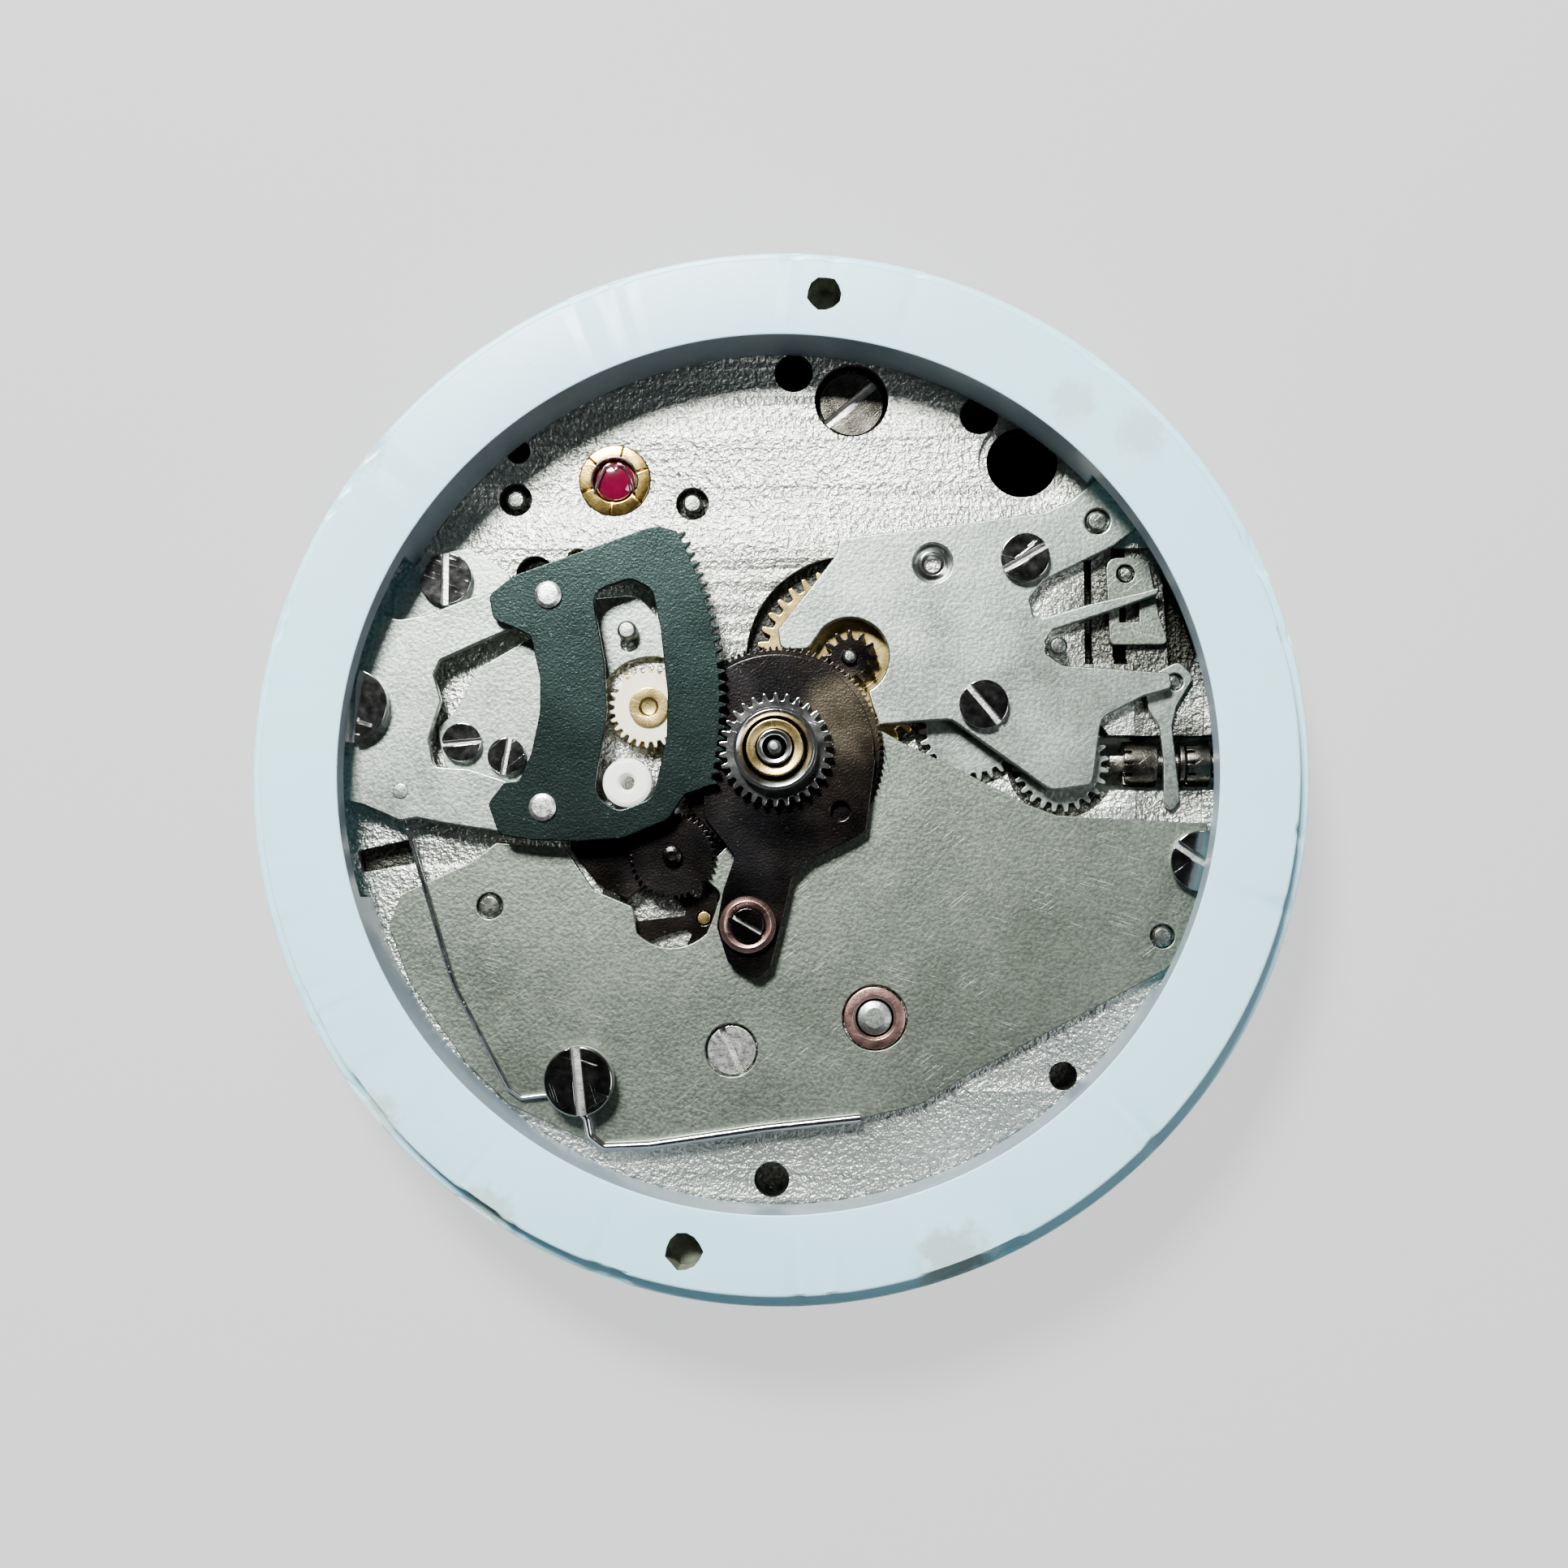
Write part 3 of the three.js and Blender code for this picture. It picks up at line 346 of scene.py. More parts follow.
def piece(name, mesh, body, look, nodes, sharp=28):
    """Turns a mesh in millimetres into a piece that rides on a body and stands for its CAD nodes."""
    mesh.transform(Matrix.Scale(MM, 4))
    mesh.name = name
    if look:
        mesh.materials.clear()
        mesh.materials.append(look)
        for p in mesh.polygons:
            p.material_index = 0
    for p in mesh.polygons:
        p.use_smooth = abs(p.normal.z) < 0.9995
    mesh.set_sharp_from_angle(angle=math.radians(sharp))
    obj = linked(name, mesh)
    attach(obj, body)
    if nodes:
        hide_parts(*nodes)
    return obj


def refined(node, body, look, bevel=0.025, sharp=28):
    """A finer copy of a CAD node: flat faces merged and every sharp edge rounded."""
    bm = bmesh.new()
    bm.from_mesh(frame["nodes"][node].data)
    bmesh.ops.scale(bm, vec=(1 / MM, 1 / MM, 1 / MM), verts=bm.verts)
    bmesh.ops.remove_doubles(bm, verts=bm.verts, dist=1e-3)
    bmesh.ops.dissolve_limit(bm, angle_limit=math.radians(2), verts=bm.verts, edges=bm.edges)
    sharp_edges = [e for e in bm.edges if len(e.link_faces) == 2 and e.calc_face_angle() > math.radians(40)]
    bmesh.ops.bevel(bm, geom=sharp_edges, offset=bevel, segments=2, profile=0.5, affect="EDGES",
                    clamp_overlap=True)
    made = bpy.data.meshes.new(node)
    bm.to_mesh(made)
    bm.free()
    return piece("fine_" + node, made, body, look, [node], sharp)


# ---------------------------------------------------------------- materials
SPOT_SQUASH = 0.5
SPOT_CORE = 0.55
# Painted shade colour for the plate's recesses and holes.
RECESS_PAINTED_SHADE = (0.012, 0.012, 0.010)


def look(name, base, metallic=0.0, rough=0.4, spread=0.1, grain=0.05, grain_depth=0.0, grain_tint=0.0,
         tint=None, tint_size=3.0, tint_share=0.5, scratch=0.0, scratch_color=None, scratch_size=0.05,
         speck=0.0, speck_color=(1, 1, 1), speck_size=0.2, coat=0.0, transmission=0.0, sss=0.0,
         sss_radius=0.5, dirt=0.0, dirt_color=(0.2, 0.17, 0.12), ior=1.5, stains_and_painted_light=(), level=PLATE_TOP,
         recess_shade=0.0, emission=0.0):
    """A procedural finish; all sizes are in millimetres.

    The round marks (x, y, radius, color, strength, raggedness) around the height level are real stains on the
    ring, painted shade on the main plate and a painted sheen on the blackened steel; the recess setting
    paints shade into the plate's recesses below its top face.
    """
    material = bpy.data.materials.new(name)
    material.use_nodes = True
    nodes, links = material.node_tree.nodes, material.node_tree.links
    shader = nodes["Principled BSDF"]
    where = nodes.new("ShaderNodeTexCoord").outputs["Object"]

    def texture(size, detail=3.0, rough_share=0.55, vector=where):
        node = nodes.new("ShaderNodeTexNoise")
        node.inputs["Scale"].default_value = 1 / (size * MM)
        node.inputs["Detail"].default_value = detail
        node.inputs["Roughness"].default_value = rough_share
        links.new(vector, node.inputs["Vector"])
        return node.outputs["Fac"]

    def ranged(value, a, b, c, d):
        node = nodes.new("ShaderNodeMapRange")
        for socket, x in zip(("From Min", "From Max", "To Min", "To Max"), (a, b, c, d)):
            node.inputs[socket].default_value = x
        links.new(value, node.inputs["Value"])
        return node.outputs["Result"]

    def maths(operation, a, b):
        node = nodes.new("ShaderNodeMath")
        node.operation = operation
        for socket, x in zip(node.inputs, (a, b)):
            if isinstance(x, (int, float)):
                socket.default_value = x
            else:
                links.new(x, socket)
        return node.outputs[0]

    def mixed(factor, a, b):
        node = nodes.new("ShaderNodeMix")
        node.data_type = "RGBA"
        links.new(factor, node.inputs["Factor"])
        for socket, x in ((node.inputs[6], a), (node.inputs[7], b)):
            if isinstance(x, tuple):
                socket.default_value = (*x, 1)
            else:
                links.new(x, socket)
        return node.outputs[2]

    def stretched(angle, ratio):
        turn = nodes.new("ShaderNodeVectorRotate")
        turn.rotation_type = "Z_AXIS"
        turn.inputs["Angle"].default_value = math.radians(angle)
        links.new(where, turn.inputs["Vector"])
        node = nodes.new("ShaderNodeMapping")
        node.inputs["Scale"].default_value = (1, ratio, 1)
        links.new(turn.outputs["Vector"], node.inputs["Vector"])
        return node.outputs["Vector"]

    color = mixed(ranged(texture(tint_size, 4), 0.35, 0.65, 0, tint_share), tuple(base), tuple(tint or base))
    fine = texture(grain, 2.5)
    if grain_tint:
        color = mixed(ranged(fine, 0.35, 0.6, grain_tint, 0), color, tuple(c * 0.35 for c in base))
    roughness = ranged(texture(tint_size * 0.6, 5), 0.3, 0.7, rough - spread, rough + spread)
    height = maths("MULTIPLY", fine, grain_depth)
    if scratch:
        total = None
        for angle, shift in ((17, 0.0), (71, 3.1), (-38, 7.7)):
            line = texture(scratch_size * 60, 1.0, 0.4, stretched(angle, 60))
            patch = texture(2.2 + shift * 0.1, 2, 0.5, stretched(angle + 40, 1.3))
            mark = maths("MULTIPLY", ranged(line, 0.70, 0.73, 0, 1), ranged(patch, 0.5, 0.6, 0, 1))
            total = mark if total is None else maths("MAXIMUM", total, mark)
        total = maths("MULTIPLY", total, scratch)
        color = mixed(total, color, tuple(scratch_color or (min(1, c * 1.6 + 0.1) for c in base)))
        height = maths("SUBTRACT", height, maths("MULTIPLY", total, 0.002))
        roughness = maths("ADD", roughness, maths("MULTIPLY", total, 0.12))
    if speck:
        flecks = maths("MULTIPLY", ranged(texture(speck_size, 2.0, 0.6), 0.69, 0.72, 0, 1), speck)
        color = mixed(flecks, color, tuple(speck_color))
    if dirt:
        smear = maths("MULTIPLY", ranged(texture(0.6, 6, 0.65), 0.56, 0.74, 0, 1), dirt)
        smear = maths("MULTIPLY", smear, ranged(texture(4.5, 3, 0.5), 0.48, 0.62, 0, 1))
        color = mixed(smear, color, tuple(dirt_color))
        roughness = maths("ADD", roughness, maths("MULTIPLY", smear, 0.2))
    # Round marks: real stains on the ring, painted shade on the main plate, a painted sheen on the blackened
    # steel.
    for x, y, r, spot_color, strength, ragged in stains_and_painted_light:
        away = nodes.new("ShaderNodeVectorMath")
        away.operation = "DISTANCE"
        flat = nodes.new("ShaderNodeMapping")
        flat.inputs["Scale"].default_value = (1, 1, SPOT_SQUASH)
        links.new(where, flat.inputs["Vector"])
        links.new(flat.outputs["Vector"], away.inputs[0])
        away.inputs[1].default_value = (x * MM, y * MM, SPOT_SQUASH * level * MM)
        edge_noise = maths("MULTIPLY", texture(r * 0.4, 5, 0.65), ragged * r * MM)
        reach = maths("ADD", away.outputs["Value"], edge_noise)
        full, gone = (SPOT_CORE + ragged * 0.5) * r * MM, (1.0 + ragged * 0.5) * r * MM
        inside = ranged(reach, full, gone, strength, 0)
        color = mixed(inside, color, tuple(spot_color))
    # Painted shade: colours the plate's recesses and holes dark below its top face, leaving the bottom face
    # as it is.
    if recess_shade:
        split = nodes.new("ShaderNodeSeparateXYZ")
        links.new(where, split.inputs[0])
        below = ranged(split.outputs["Z"], (PLATE_TOP - 0.36) * MM, (PLATE_TOP - 0.16) * MM, recess_shade, 0)
        above = ranged(split.outputs["Z"], (PLATE_BOTTOM + 0.02) * MM, (PLATE_BOTTOM + 0.06) * MM, 0, 1)
        color = mixed(maths("MULTIPLY", below, above), color, RECESS_PAINTED_SHADE)
    bump = nodes.new("ShaderNodeBump")
    bump.inputs["Strength"].default_value = 1.0
    bump.inputs["Distance"].default_value = MM
    links.new(height, bump.inputs["Height"])
    links.new(bump.outputs["Normal"], shader.inputs["Normal"])
    links.new(color, shader.inputs["Base Color"])
    links.new(roughness, shader.inputs["Roughness"])
    shader.inputs["Metallic"].default_value = metallic
    shader.inputs["Emission Strength"].default_value = emission
    shader.inputs["Emission Color"].default_value = (*base, 1)
    shader.inputs["IOR"].default_value = ior
    shader.inputs["Coat Weight"].default_value = coat
    shader.inputs["Coat Roughness"].default_value = 0.08
    shader.inputs["Transmission Weight"].default_value = transmission
    shader.inputs["Subsurface Weight"].default_value = sss
    shader.inputs["Subsurface Scale"].default_value = sss_radius * MM
    shader.inputs["Subsurface Radius"].default_value = (1.0, 1.0, 1.0)
    return material


RING_STAINS = (
    (5.2, -14.4, 1.3, (0.30, 0.32, 0.26), 0.6, 1.6), (8.9, 10.9, 0.8, (0.38, 0.42, 0.42), 0.5, 1.6),
    (10.9, 9.9, 0.9, (0.36, 0.40, 0.40), 0.45, 1.6), (14.9, 6.3, 0.7, (0.36, 0.40, 0.36), 0.6, 1.5),
    (-11.9, -10.4, 1.0, (0.36, 0.38, 0.32), 0.6, 1.6), (-8.4, -13.0, 0.9, (0.36, 0.38, 0.32), 0.6, 1.6),
    (-12.4, 9.6, 0.8, (0.4, 0.42, 0.38), 0.5, 1.6),
)
# Painted shade on the main plate: two dark marks in the keyless pockets and darker grey towards the bottom
# edge.
PLATE_PAINTED_SHADE = (
    (11.2, 4.6, 3.0, (0.07, 0.07, 0.06), 0.85, 0.3), (12.6, 0.4, 1.6, (0.04, 0.04, 0.035), 0.85, 0.2),
    (0, -13.0, 5.5, (0.33, 0.34, 0.31), 0.7, 0.2), (8.5, -10.0, 3.5, (0.38, 0.39, 0.36), 0.6, 0.2),
)
RING = look("ring plastic", (0.40, 0.72, 0.84), rough=0.36, spread=0.06, grain=0.25, grain_depth=0.004,
            tint=(0.47, 0.76, 0.86), tint_size=9, sss=0.12, sss_radius=0.5, dirt=0.3,
            dirt_color=(0.5, 0.5, 0.42), scratch=0.25, scratch_color=(0.62, 0.72, 0.76), scratch_size=0.02,
            level=RING_TOP, stains_and_painted_light=RING_STAINS)
# Painted shade: the bore wall's darker colour stands in for the shadow on the ring's inner wall; the dirt and
# scratches are real.
BORE_PAINTED_SHADE = look("ring bore", (0.17, 0.23, 0.29), rough=0.4, grain=0.2, grain_depth=0.004,
            tint=(0.23, 0.28, 0.31), tint_size=4, dirt=0.4, dirt_color=(0.2, 0.2, 0.18), scratch=0.2,
            scratch_size=0.02)
# Painted shade: the dark colour inside the dial-foot holes.
FOOT_HOLE_SHADE = look("foot hole", (0.15, 0.17, 0.12), rough=0.6, grain=0.12, grain_depth=0.01, tint=(0.05, 0.06, 0.04),
            tint_size=0.4, tint_share=0.9)
# The sandblasted plate carries painted shade: in its recesses and in the round marks on the main plate.
SILVER = look("sandblasted plate", (0.60, 0.62, 0.57), 1.0, 0.38, 0.05, grain=0.13, grain_depth=0.075,
              grain_tint=0.5, tint=(0.52, 0.52, 0.48), tint_size=5, dirt=0.35,
              dirt_color=(0.25, 0.23, 0.18), recess_shade=0.96, stains_and_painted_light=PLATE_PAINTED_SHADE)
SATIN = look("grained plate", (0.25, 0.285, 0.24), 1.0, 0.40, 0.05, grain=0.11, grain_depth=0.012,
             grain_tint=0.6, tint=(0.165, 0.19, 0.155), tint_size=6, tint_share=0.9, scratch=0.5,
             scratch_color=(0.6, 0.6, 0.56), scratch_size=0.02, dirt=0.4, dirt_color=(0.12, 0.11, 0.08))
STEEL = look("satin steel", (0.46, 0.51, 0.47), 1.0, 0.34, 0.05, grain=0.12, grain_depth=0.010,
             grain_tint=0.6, tint=(0.37, 0.42, 0.38), tint_size=3, scratch=0.2, scratch_size=0.02, dirt=0.25,
             dirt_color=(0.2, 0.19, 0.16))
POLISHED = look("polished steel", (0.66, 0.67, 0.66), 1.0, 0.16, 0.05, grain=0.05, grain_depth=0.0012,
                scratch=0.5, scratch_size=0.03, tint=(0.5, 0.5, 0.5), tint_size=0.8)
SLOTTED = look("screw head", (0.46, 0.47, 0.46), 1.0, 0.12, 0.04, grain=0.3, grain_depth=0.004,
               scratch=0.6, scratch_size=0.025, tint=(0.3, 0.3, 0.3), tint_size=0.6)
SLOT_FLOOR = look("screw slot", (0.78, 0.78, 0.76), 1.0, 0.34, 0.08, grain=0.06, grain_depth=0.01,
                  tint=(0.55, 0.54, 0.50), tint_size=0.5)
TURNED = look("turned rivet", (0.86, 0.87, 0.85), 1.0, 0.30, 0.08, grain=0.05, grain_depth=0.006,
              tint=(0.62, 0.62, 0.60), tint_size=0.3, scratch=0.4)
# The brown mark on the right of the blackened steel (the retaining plate) is a painted sheen.
BLACK = look("blackened steel", (0.016, 0.016, 0.018), 1.0, 0.24, 0.08, grain=0.07, grain_depth=0.008,
             tint=(0.05, 0.038, 0.03), tint_size=3.5, tint_share=0.7, scratch=0.12, scratch_size=0.02,
             scratch_color=(0.2, 0.19, 0.17), speck=0.3, speck_color=(0.3, 0.29, 0.27), speck_size=0.14,
             stains_and_painted_light=((2.15, 1.55, 1.7, (0.17, 0.14, 0.10), 0.9, 0.25),))
BLUED = look("dark rack steel", (0.020, 0.032, 0.030), 1.0, 0.28, 0.03, grain=0.07, grain_depth=0.008,
             tint=(0.024, 0.036, 0.034), tint_size=4, scratch=0.12, scratch_color=(0.12, 0.16, 0.16),
             scratch_size=0.02, speck=0.35, speck_color=(0.2, 0.24, 0.24), speck_size=0.14)
BRASS = look("gilt brass", (0.66, 0.49, 0.19), 1.0, 0.27, 0.06, grain=0.05, grain_depth=0.004,
             tint=(0.48, 0.35, 0.13), tint_size=1.0, scratch=0.4)
COPPER = look("copper bush", (0.56, 0.33, 0.29), 1.0, 0.28, 0.06, grain=0.05, grain_depth=0.005,
              tint=(0.36, 0.22, 0.20), tint_size=0.6, scratch=0.4)
RUBY = look("ruby", (0.14, 0.002, 0.025), 0.0, 0.05, 0.02, grain=0.1, tint=(0.06, 0.0, 0.012), tint_size=0.5,
            coat=0.6, transmission=0.2, ior=1.76)
IVORY = look("ivory plastic", (0.86, 0.80, 0.62), 0.0, 0.42, 0.06, grain=0.1, grain_depth=0.005,
             tint=(0.74, 0.66, 0.46), tint_size=0.7, sss=0.2, sss_radius=0.2, dirt=0.4)
WHITE = look("white plastic", (0.92, 0.92, 0.89), 0.0, 0.26, 0.05, grain=0.1, grain_depth=0.003,
             tint=(0.80, 0.80, 0.76), tint_size=0.5, sss=0.2, sss_radius=0.2, dirt=0.2)
DARK_STEEL = look("dark steel", (0.17, 0.16, 0.14), 1.0, 0.24, 0.08, grain=0.06, grain_depth=0.006,
             tint=(0.08, 0.07, 0.05), tint_size=0.8, scratch=0.4, scratch_size=0.02)
PIN = look("dowel pin", (0.34, 0.36, 0.33), 1.0, 0.26, 0.08, grain=0.06, grain_depth=0.008,
           tint=(0.16, 0.16, 0.14), tint_size=0.35, scratch=0.4, scratch_size=0.02)
GILT = look("gilt jewel setting", (0.56, 0.38, 0.11), 1.0, 0.2, 0.06, grain=0.05, grain_depth=0.003,
            tint=(0.36, 0.24, 0.07), tint_size=0.9, scratch=0.4, scratch_size=0.02)
LOOKS = {"ring_plastic": RING, "silver_plate": SILVER, "satin_plate": SATIN, "steel": STEEL,
         "polished_steel": POLISHED, "black_steel": BLACK, "blued_steel": BLUED, "brass": BRASS,
         "copper": COPPER, "ruby": RUBY, "ivory_plastic": IVORY, "white_plastic": WHITE}
SLOT_OF = {s["node"]: s["material_slot"] for s in frame["record"]["subparts"]}
BODY_OF = {n: b for b, ns in frame["record"]["behaviour"]["bodies"].items() for n in ns}


def made(name, mesh, finish=None, sharp=28):
    """A piece that stands for the CAD node of that name; a mesh already dressed keeps its own finishes."""
    slot = SLOT_OF[name]
    finish = None if mesh.name.startswith("dressed") else finish or LOOKS[slot]
    return piece("look_" + name, mesh, BODY_OF[name], finish, [name], sharp)


# ---------------------------------------------------------------- holder ring
BORE_R, RIM_R = 13.05, 15.4
FOOT_HOLES = [polar((0, 0), 14.35, math.radians(angle)) for angle in (84, 259.5)]


def holder_ring():
    rng = random.Random(7)
    profile = [(BORE_R, 3.25, 0.04), (14.2, 3.25), (14.2, 0.0, 0.02), (15.8, 0.0, 0.12), (15.8, 4.75, 0.10),
               (15.5, 4.76, 0.03), (15.42, 4.6, 0.03), (RIM_R, RING_TOP, 0.1),
               (BORE_R, RING_TOP, 0.06)]
    body = turned((0, 0), profile, 256 * DENSE, 5)

    def pocket(first, last, r, top):
        rim = arc((0, 0), r, first, last, 48) + arc((0, 0), 12.4, last, first, 48)
        return slab([rim], 2.8, top, 0.02)

    def foot_hole(at):
        rim = [polar(at, 0.53 + rng.uniform(-0.035, 0.05), 2 * math.pi * i / 13) for i in range(13)]
        return slab([rim], 4.2, 6.4, 0.01)

    stem = turned((0, 0), [(0, 12.7), (0.95, 12.7), (0.95, 16.8), (0, 16.8)], 40)
    stem.transform(STEM_FRAME)
    pockets = [pocket(150, 197, 14.95, 4.68), pocket(-30, 43, 14.2, 4.45)]
    ring = cut(body, [*pockets, *map(foot_hole, FOOT_HOLES), stem])
    chip_edge(ring, rng)
    return ring_with_painted_shade(ring)


def chip_edge(ring, rng):
    """Chips along the outer rim, each (degrees, half width, depth): random small ones, then larger ones."""
    chips = [(rng.uniform(0, 360), rng.uniform(0.12, 0.4), rng.uniform(0.03, 0.09)) for _ in range(26)]
    chips += [(219, 0.9, 0.16), (236, 0.8, 0.15), (290, 1.1, 0.14), (296, 0.6, 0.12), (141, 0.5, 0.12),
              (146, 0.4, 0.1), (23, 0.5, 0.12), (25, 0.4, 0.1), (52, 0.4, 0.08)]
    for v in ring.vertices:
        r = math.hypot(v.co.x, v.co.y)
        if r < RIM_R - 0.07 or v.co.z < RING_TOP - 0.7:
            continue
        a = math.degrees(math.atan2(v.co.y, v.co.x))
        for angle, width, depth in chips:
            away = abs((a - angle + 180) % 360 - 180) * math.pi / 180 * RIM_R / width
            if away < 1:
                push = depth * (1 - away * away) * (0.6 + 0.8 * abs(noise.noise(v.co * 3.0)))
                v.co.x *= 1 - push / r
                v.co.y *= 1 - push / r
                v.co.z -= push * 0.8


def ring_with_painted_shade(ring):
    """The ring in its plastic, with painted shade on the bore wall and in the dial-foot holes."""
    ring = dressed((ring, RING))
    ring.materials.append(BORE_PAINTED_SHADE)
    ring.materials.append(FOOT_HOLE_SHADE)
    for p in ring.polygons:
        in_foot_hole = any(math.dist(p.center[:2], at) < 0.62 for at in FOOT_HOLES)
        if math.hypot(p.center.x, p.center.y) < BORE_R + 0.15 and abs(p.normal.z) < 0.6:
            p.material_index = 1
        elif p.center.z < RING_TOP - 0.06 and in_foot_hole:
            p.material_index = 2
    return ring


made("holder_ring", holder_ring(), sharp=35)


# ---------------------------------------------------------------- screws
def screw(name, at, head_r, head_h, seat, slot_angle, rim=0.07, gap=None, finish=None, up=1):
    """A slotted cheese head in two halves on a base disc, with a polished chamfer, and its shank."""
    gap = gap or head_r * 0.12
    floor = head_h * 0.45
    half_angle = math.asin(gap / head_r)
    halves = []
    for side in (0, math.pi):
        n = 48
        sweep = math.pi - 2 * half_angle
        rim_line = [polar((0, 0), head_r, side + half_angle + sweep * k / n) for k in range(n + 1)]
        halves.append(slab([rim_line], floor - 0.03, head_h, rim * 0.5, 3))
    base = turned((0, 0), [(0, -0.2), (head_r - 0.01, 0), (head_r - 0.01, floor), (0, floor)], 72)
    shank = turned((0, 0), [(0, -0.9), (head_r * 0.45, -0.9, 0.03), (head_r * 0.45, 0.0), (0, 0.0)], 40)
    mesh = dressed((joined(*halves), finish or SLOTTED), (base, SLOT_FLOOR), (shank, POLISHED))
    turn = Matrix.Rotation(math.radians(slot_angle), 4, "Z")
    flip = Matrix.Rotation(math.pi, 4, "X") if up < 0 else Matrix.Identity(4)
    mesh.transform(Matrix.Translation((at[0], at[1], seat)) @ flip @ turn)
    return made(name, mesh)


screw("rack_pivot_screw", PIVOT, 1.125, 0.42, 4.13, 90)
screw("rack_spring_screw", (-5.92, -9.32), 1.05, 0.5, 3.8, 96, rim=0.12)
screw("side_bridge_screw", (-10.25, 6.01), 0.82, 0.26, 3.5, 90)
screw("rack_bridge_screw_left", (-9.68, 0.93), 0.61, 0.24, 3.52, 5)
screw("rack_bridge_screw_right", (-8.29, 0.5), 0.58, 0.24, 3.52, 80)
screw("setting_cover_screw_upper", (7.58, 6.51), 0.75, 0.28, 3.62, 30)
screw("setting_cover_screw_lower", (6.29, 2.02), 0.75, 0.28, 3.62, -50)
screw("lower_cover_screw", (12.75, -2.75), 0.92, 0.36, 3.57, -35)
screw("retaining_screw", RETAINING_AT, 0.5, 0.42, 4.08, -30, finish=BLACK)
screw("recessed_screw", RECESSED_AT, 0.74, 0.3, 3.1, -65, finish=TURNED)
# Painted shade: the dark steel finish on this screw stands for the shade at the bottom of its sunken well.
screw("bridge_screw_dial_side", BRIDGE_SCREW_AT, 1.0, 0.3, 2.46, 40, finish=DARK_STEEL)
screw("barrel_bridge_screw", (11.9, 2.6), 0.8, 0.22, 0.53, 15, up=-1)
screw("balance_cock_screw", (-10.6, 7.2), 0.8, 0.22, 0.53, 35, up=-1)


# ---------------------------------------------------------------- main plate
def dowel(at, r, top, bottom=2.8):
    return turned(at, [(0, bottom), (r, bottom), (r, top - 0.06), (r - 0.07, top, 0.03), (0, top)], 40)


def main_plate():
    blank = slab([circle((0, 0), PLATE_R, 256)], PLATE_BOTTOM, PLATE_TOP, 0.04)
    through = [(CLAMP_HOLE_AT, 1.1), ((0.5, 12.5), 0.6), ((6.25, 11.1), 0.6), ((-8.12, 10.1), 0.38),
               ((-7.55, 6.2), 0.6), ((-6.2, 6.65), 0.38), ((-0.17, -12.32), 0.53), ((8.62, -9.2), 0.43),
               (BALANCE_AT, 0.7), (BARREL_AT, 0.6), (HANDS, 0.3), (GREAT_AT, 0.3), (BRIDGE_SCREW_AT, 0.62)]
    wells = [(MINUTE_AT, 3.2, 2.7), (HANDS, 2.9, 2.7), (GREAT_AT, 3.22, 2.94), (middle_at, 1.8, 2.7),
             (SETTING_AT, 1.68, 2.7), (BRIDGE_SCREW_AT, 1.15, 2.42), (CLAMP_HOLE_AT, 1.37, 3.0),
             (BALANCE_AT, 1.13, 2.8), (RECESSED_AT, 0.8, 3.05)]
    tools = [turned(at, [(0, 1.5), (r, 1.5), (r, 4), (0, 4)], 64) for at, r in through]
    tools += [turned(at, [(0, floor), (r, floor), (r, 4), (0, 4)], 96) for at, r, floor in wells]
    key_pocket = outline([(9.6, 3.5), (9.6, 6.9), (11.7, 6.9), (12.4, 3.7), (13.1, 3.7), (12.9, -1.6),
                          (10.9, -1.6), (10.9, 3.5)])
    tools.append(slab([key_pocket], 2.94, 4, 0.005))
    key_gaps = ([(9.42, 6.5), (9.68, 6.6), (9.68, 3.3), (9.42, 3.3)],
                [(10.3, 6.9), (10.72, 6.9), (10.72, 3.3), (10.3, 3.3)],
                [(11.85, 6.1), (12.45, 5.2), (12.9, 3.7), (12.6, 2.9), (12.0, 3.1)])
    tools += [slab([outline(gap)], 2.3, 4, 0.005) for gap in key_gaps]
    tools.append(block(9.7, 15, STEM_Y - 0.85, STEM_Y + 0.85, 1, 4, 0))
    for at in UPPER_DOWELS:
        tools.append(turned(at, [(0.25, 2.7), (0.52, 2.7), (0.52, 4), (0.25, 4)], 48))
    slot_line = outline([(-12.97, -2.37, 0.1), (-11.3, -2.0, 0.1), (-11.2, -2.78, 0.1),
                         (-12.82, -3.05, 0.1)])
    tools.append(slab([slot_line], 2.6, 4, 0.005))
    plate = cut(blank, tools, 0.035)
    posts = [*(dowel(at, 0.3, 3.25) for at in UPPER_DOWELS), dowel(COVER_DOWELS[0], 0.34, 3.58),
             dowel(COVER_DOWELS[1], 0.3, 3.6), dowel(SETTING_DOWEL, 0.32, 3.63),
             dowel((8.55, 3.77), 0.28, 3.95),
             dowel(MINUTE_AT, 0.21, 3.72), dowel(YOKE_AT, 0.2, 3.2), dowel(LEVER_AT, 0.22, 3.22)]
    return dressed((plate, SILVER), (joined(*posts), PIN))


made("main_plate", main_plate())


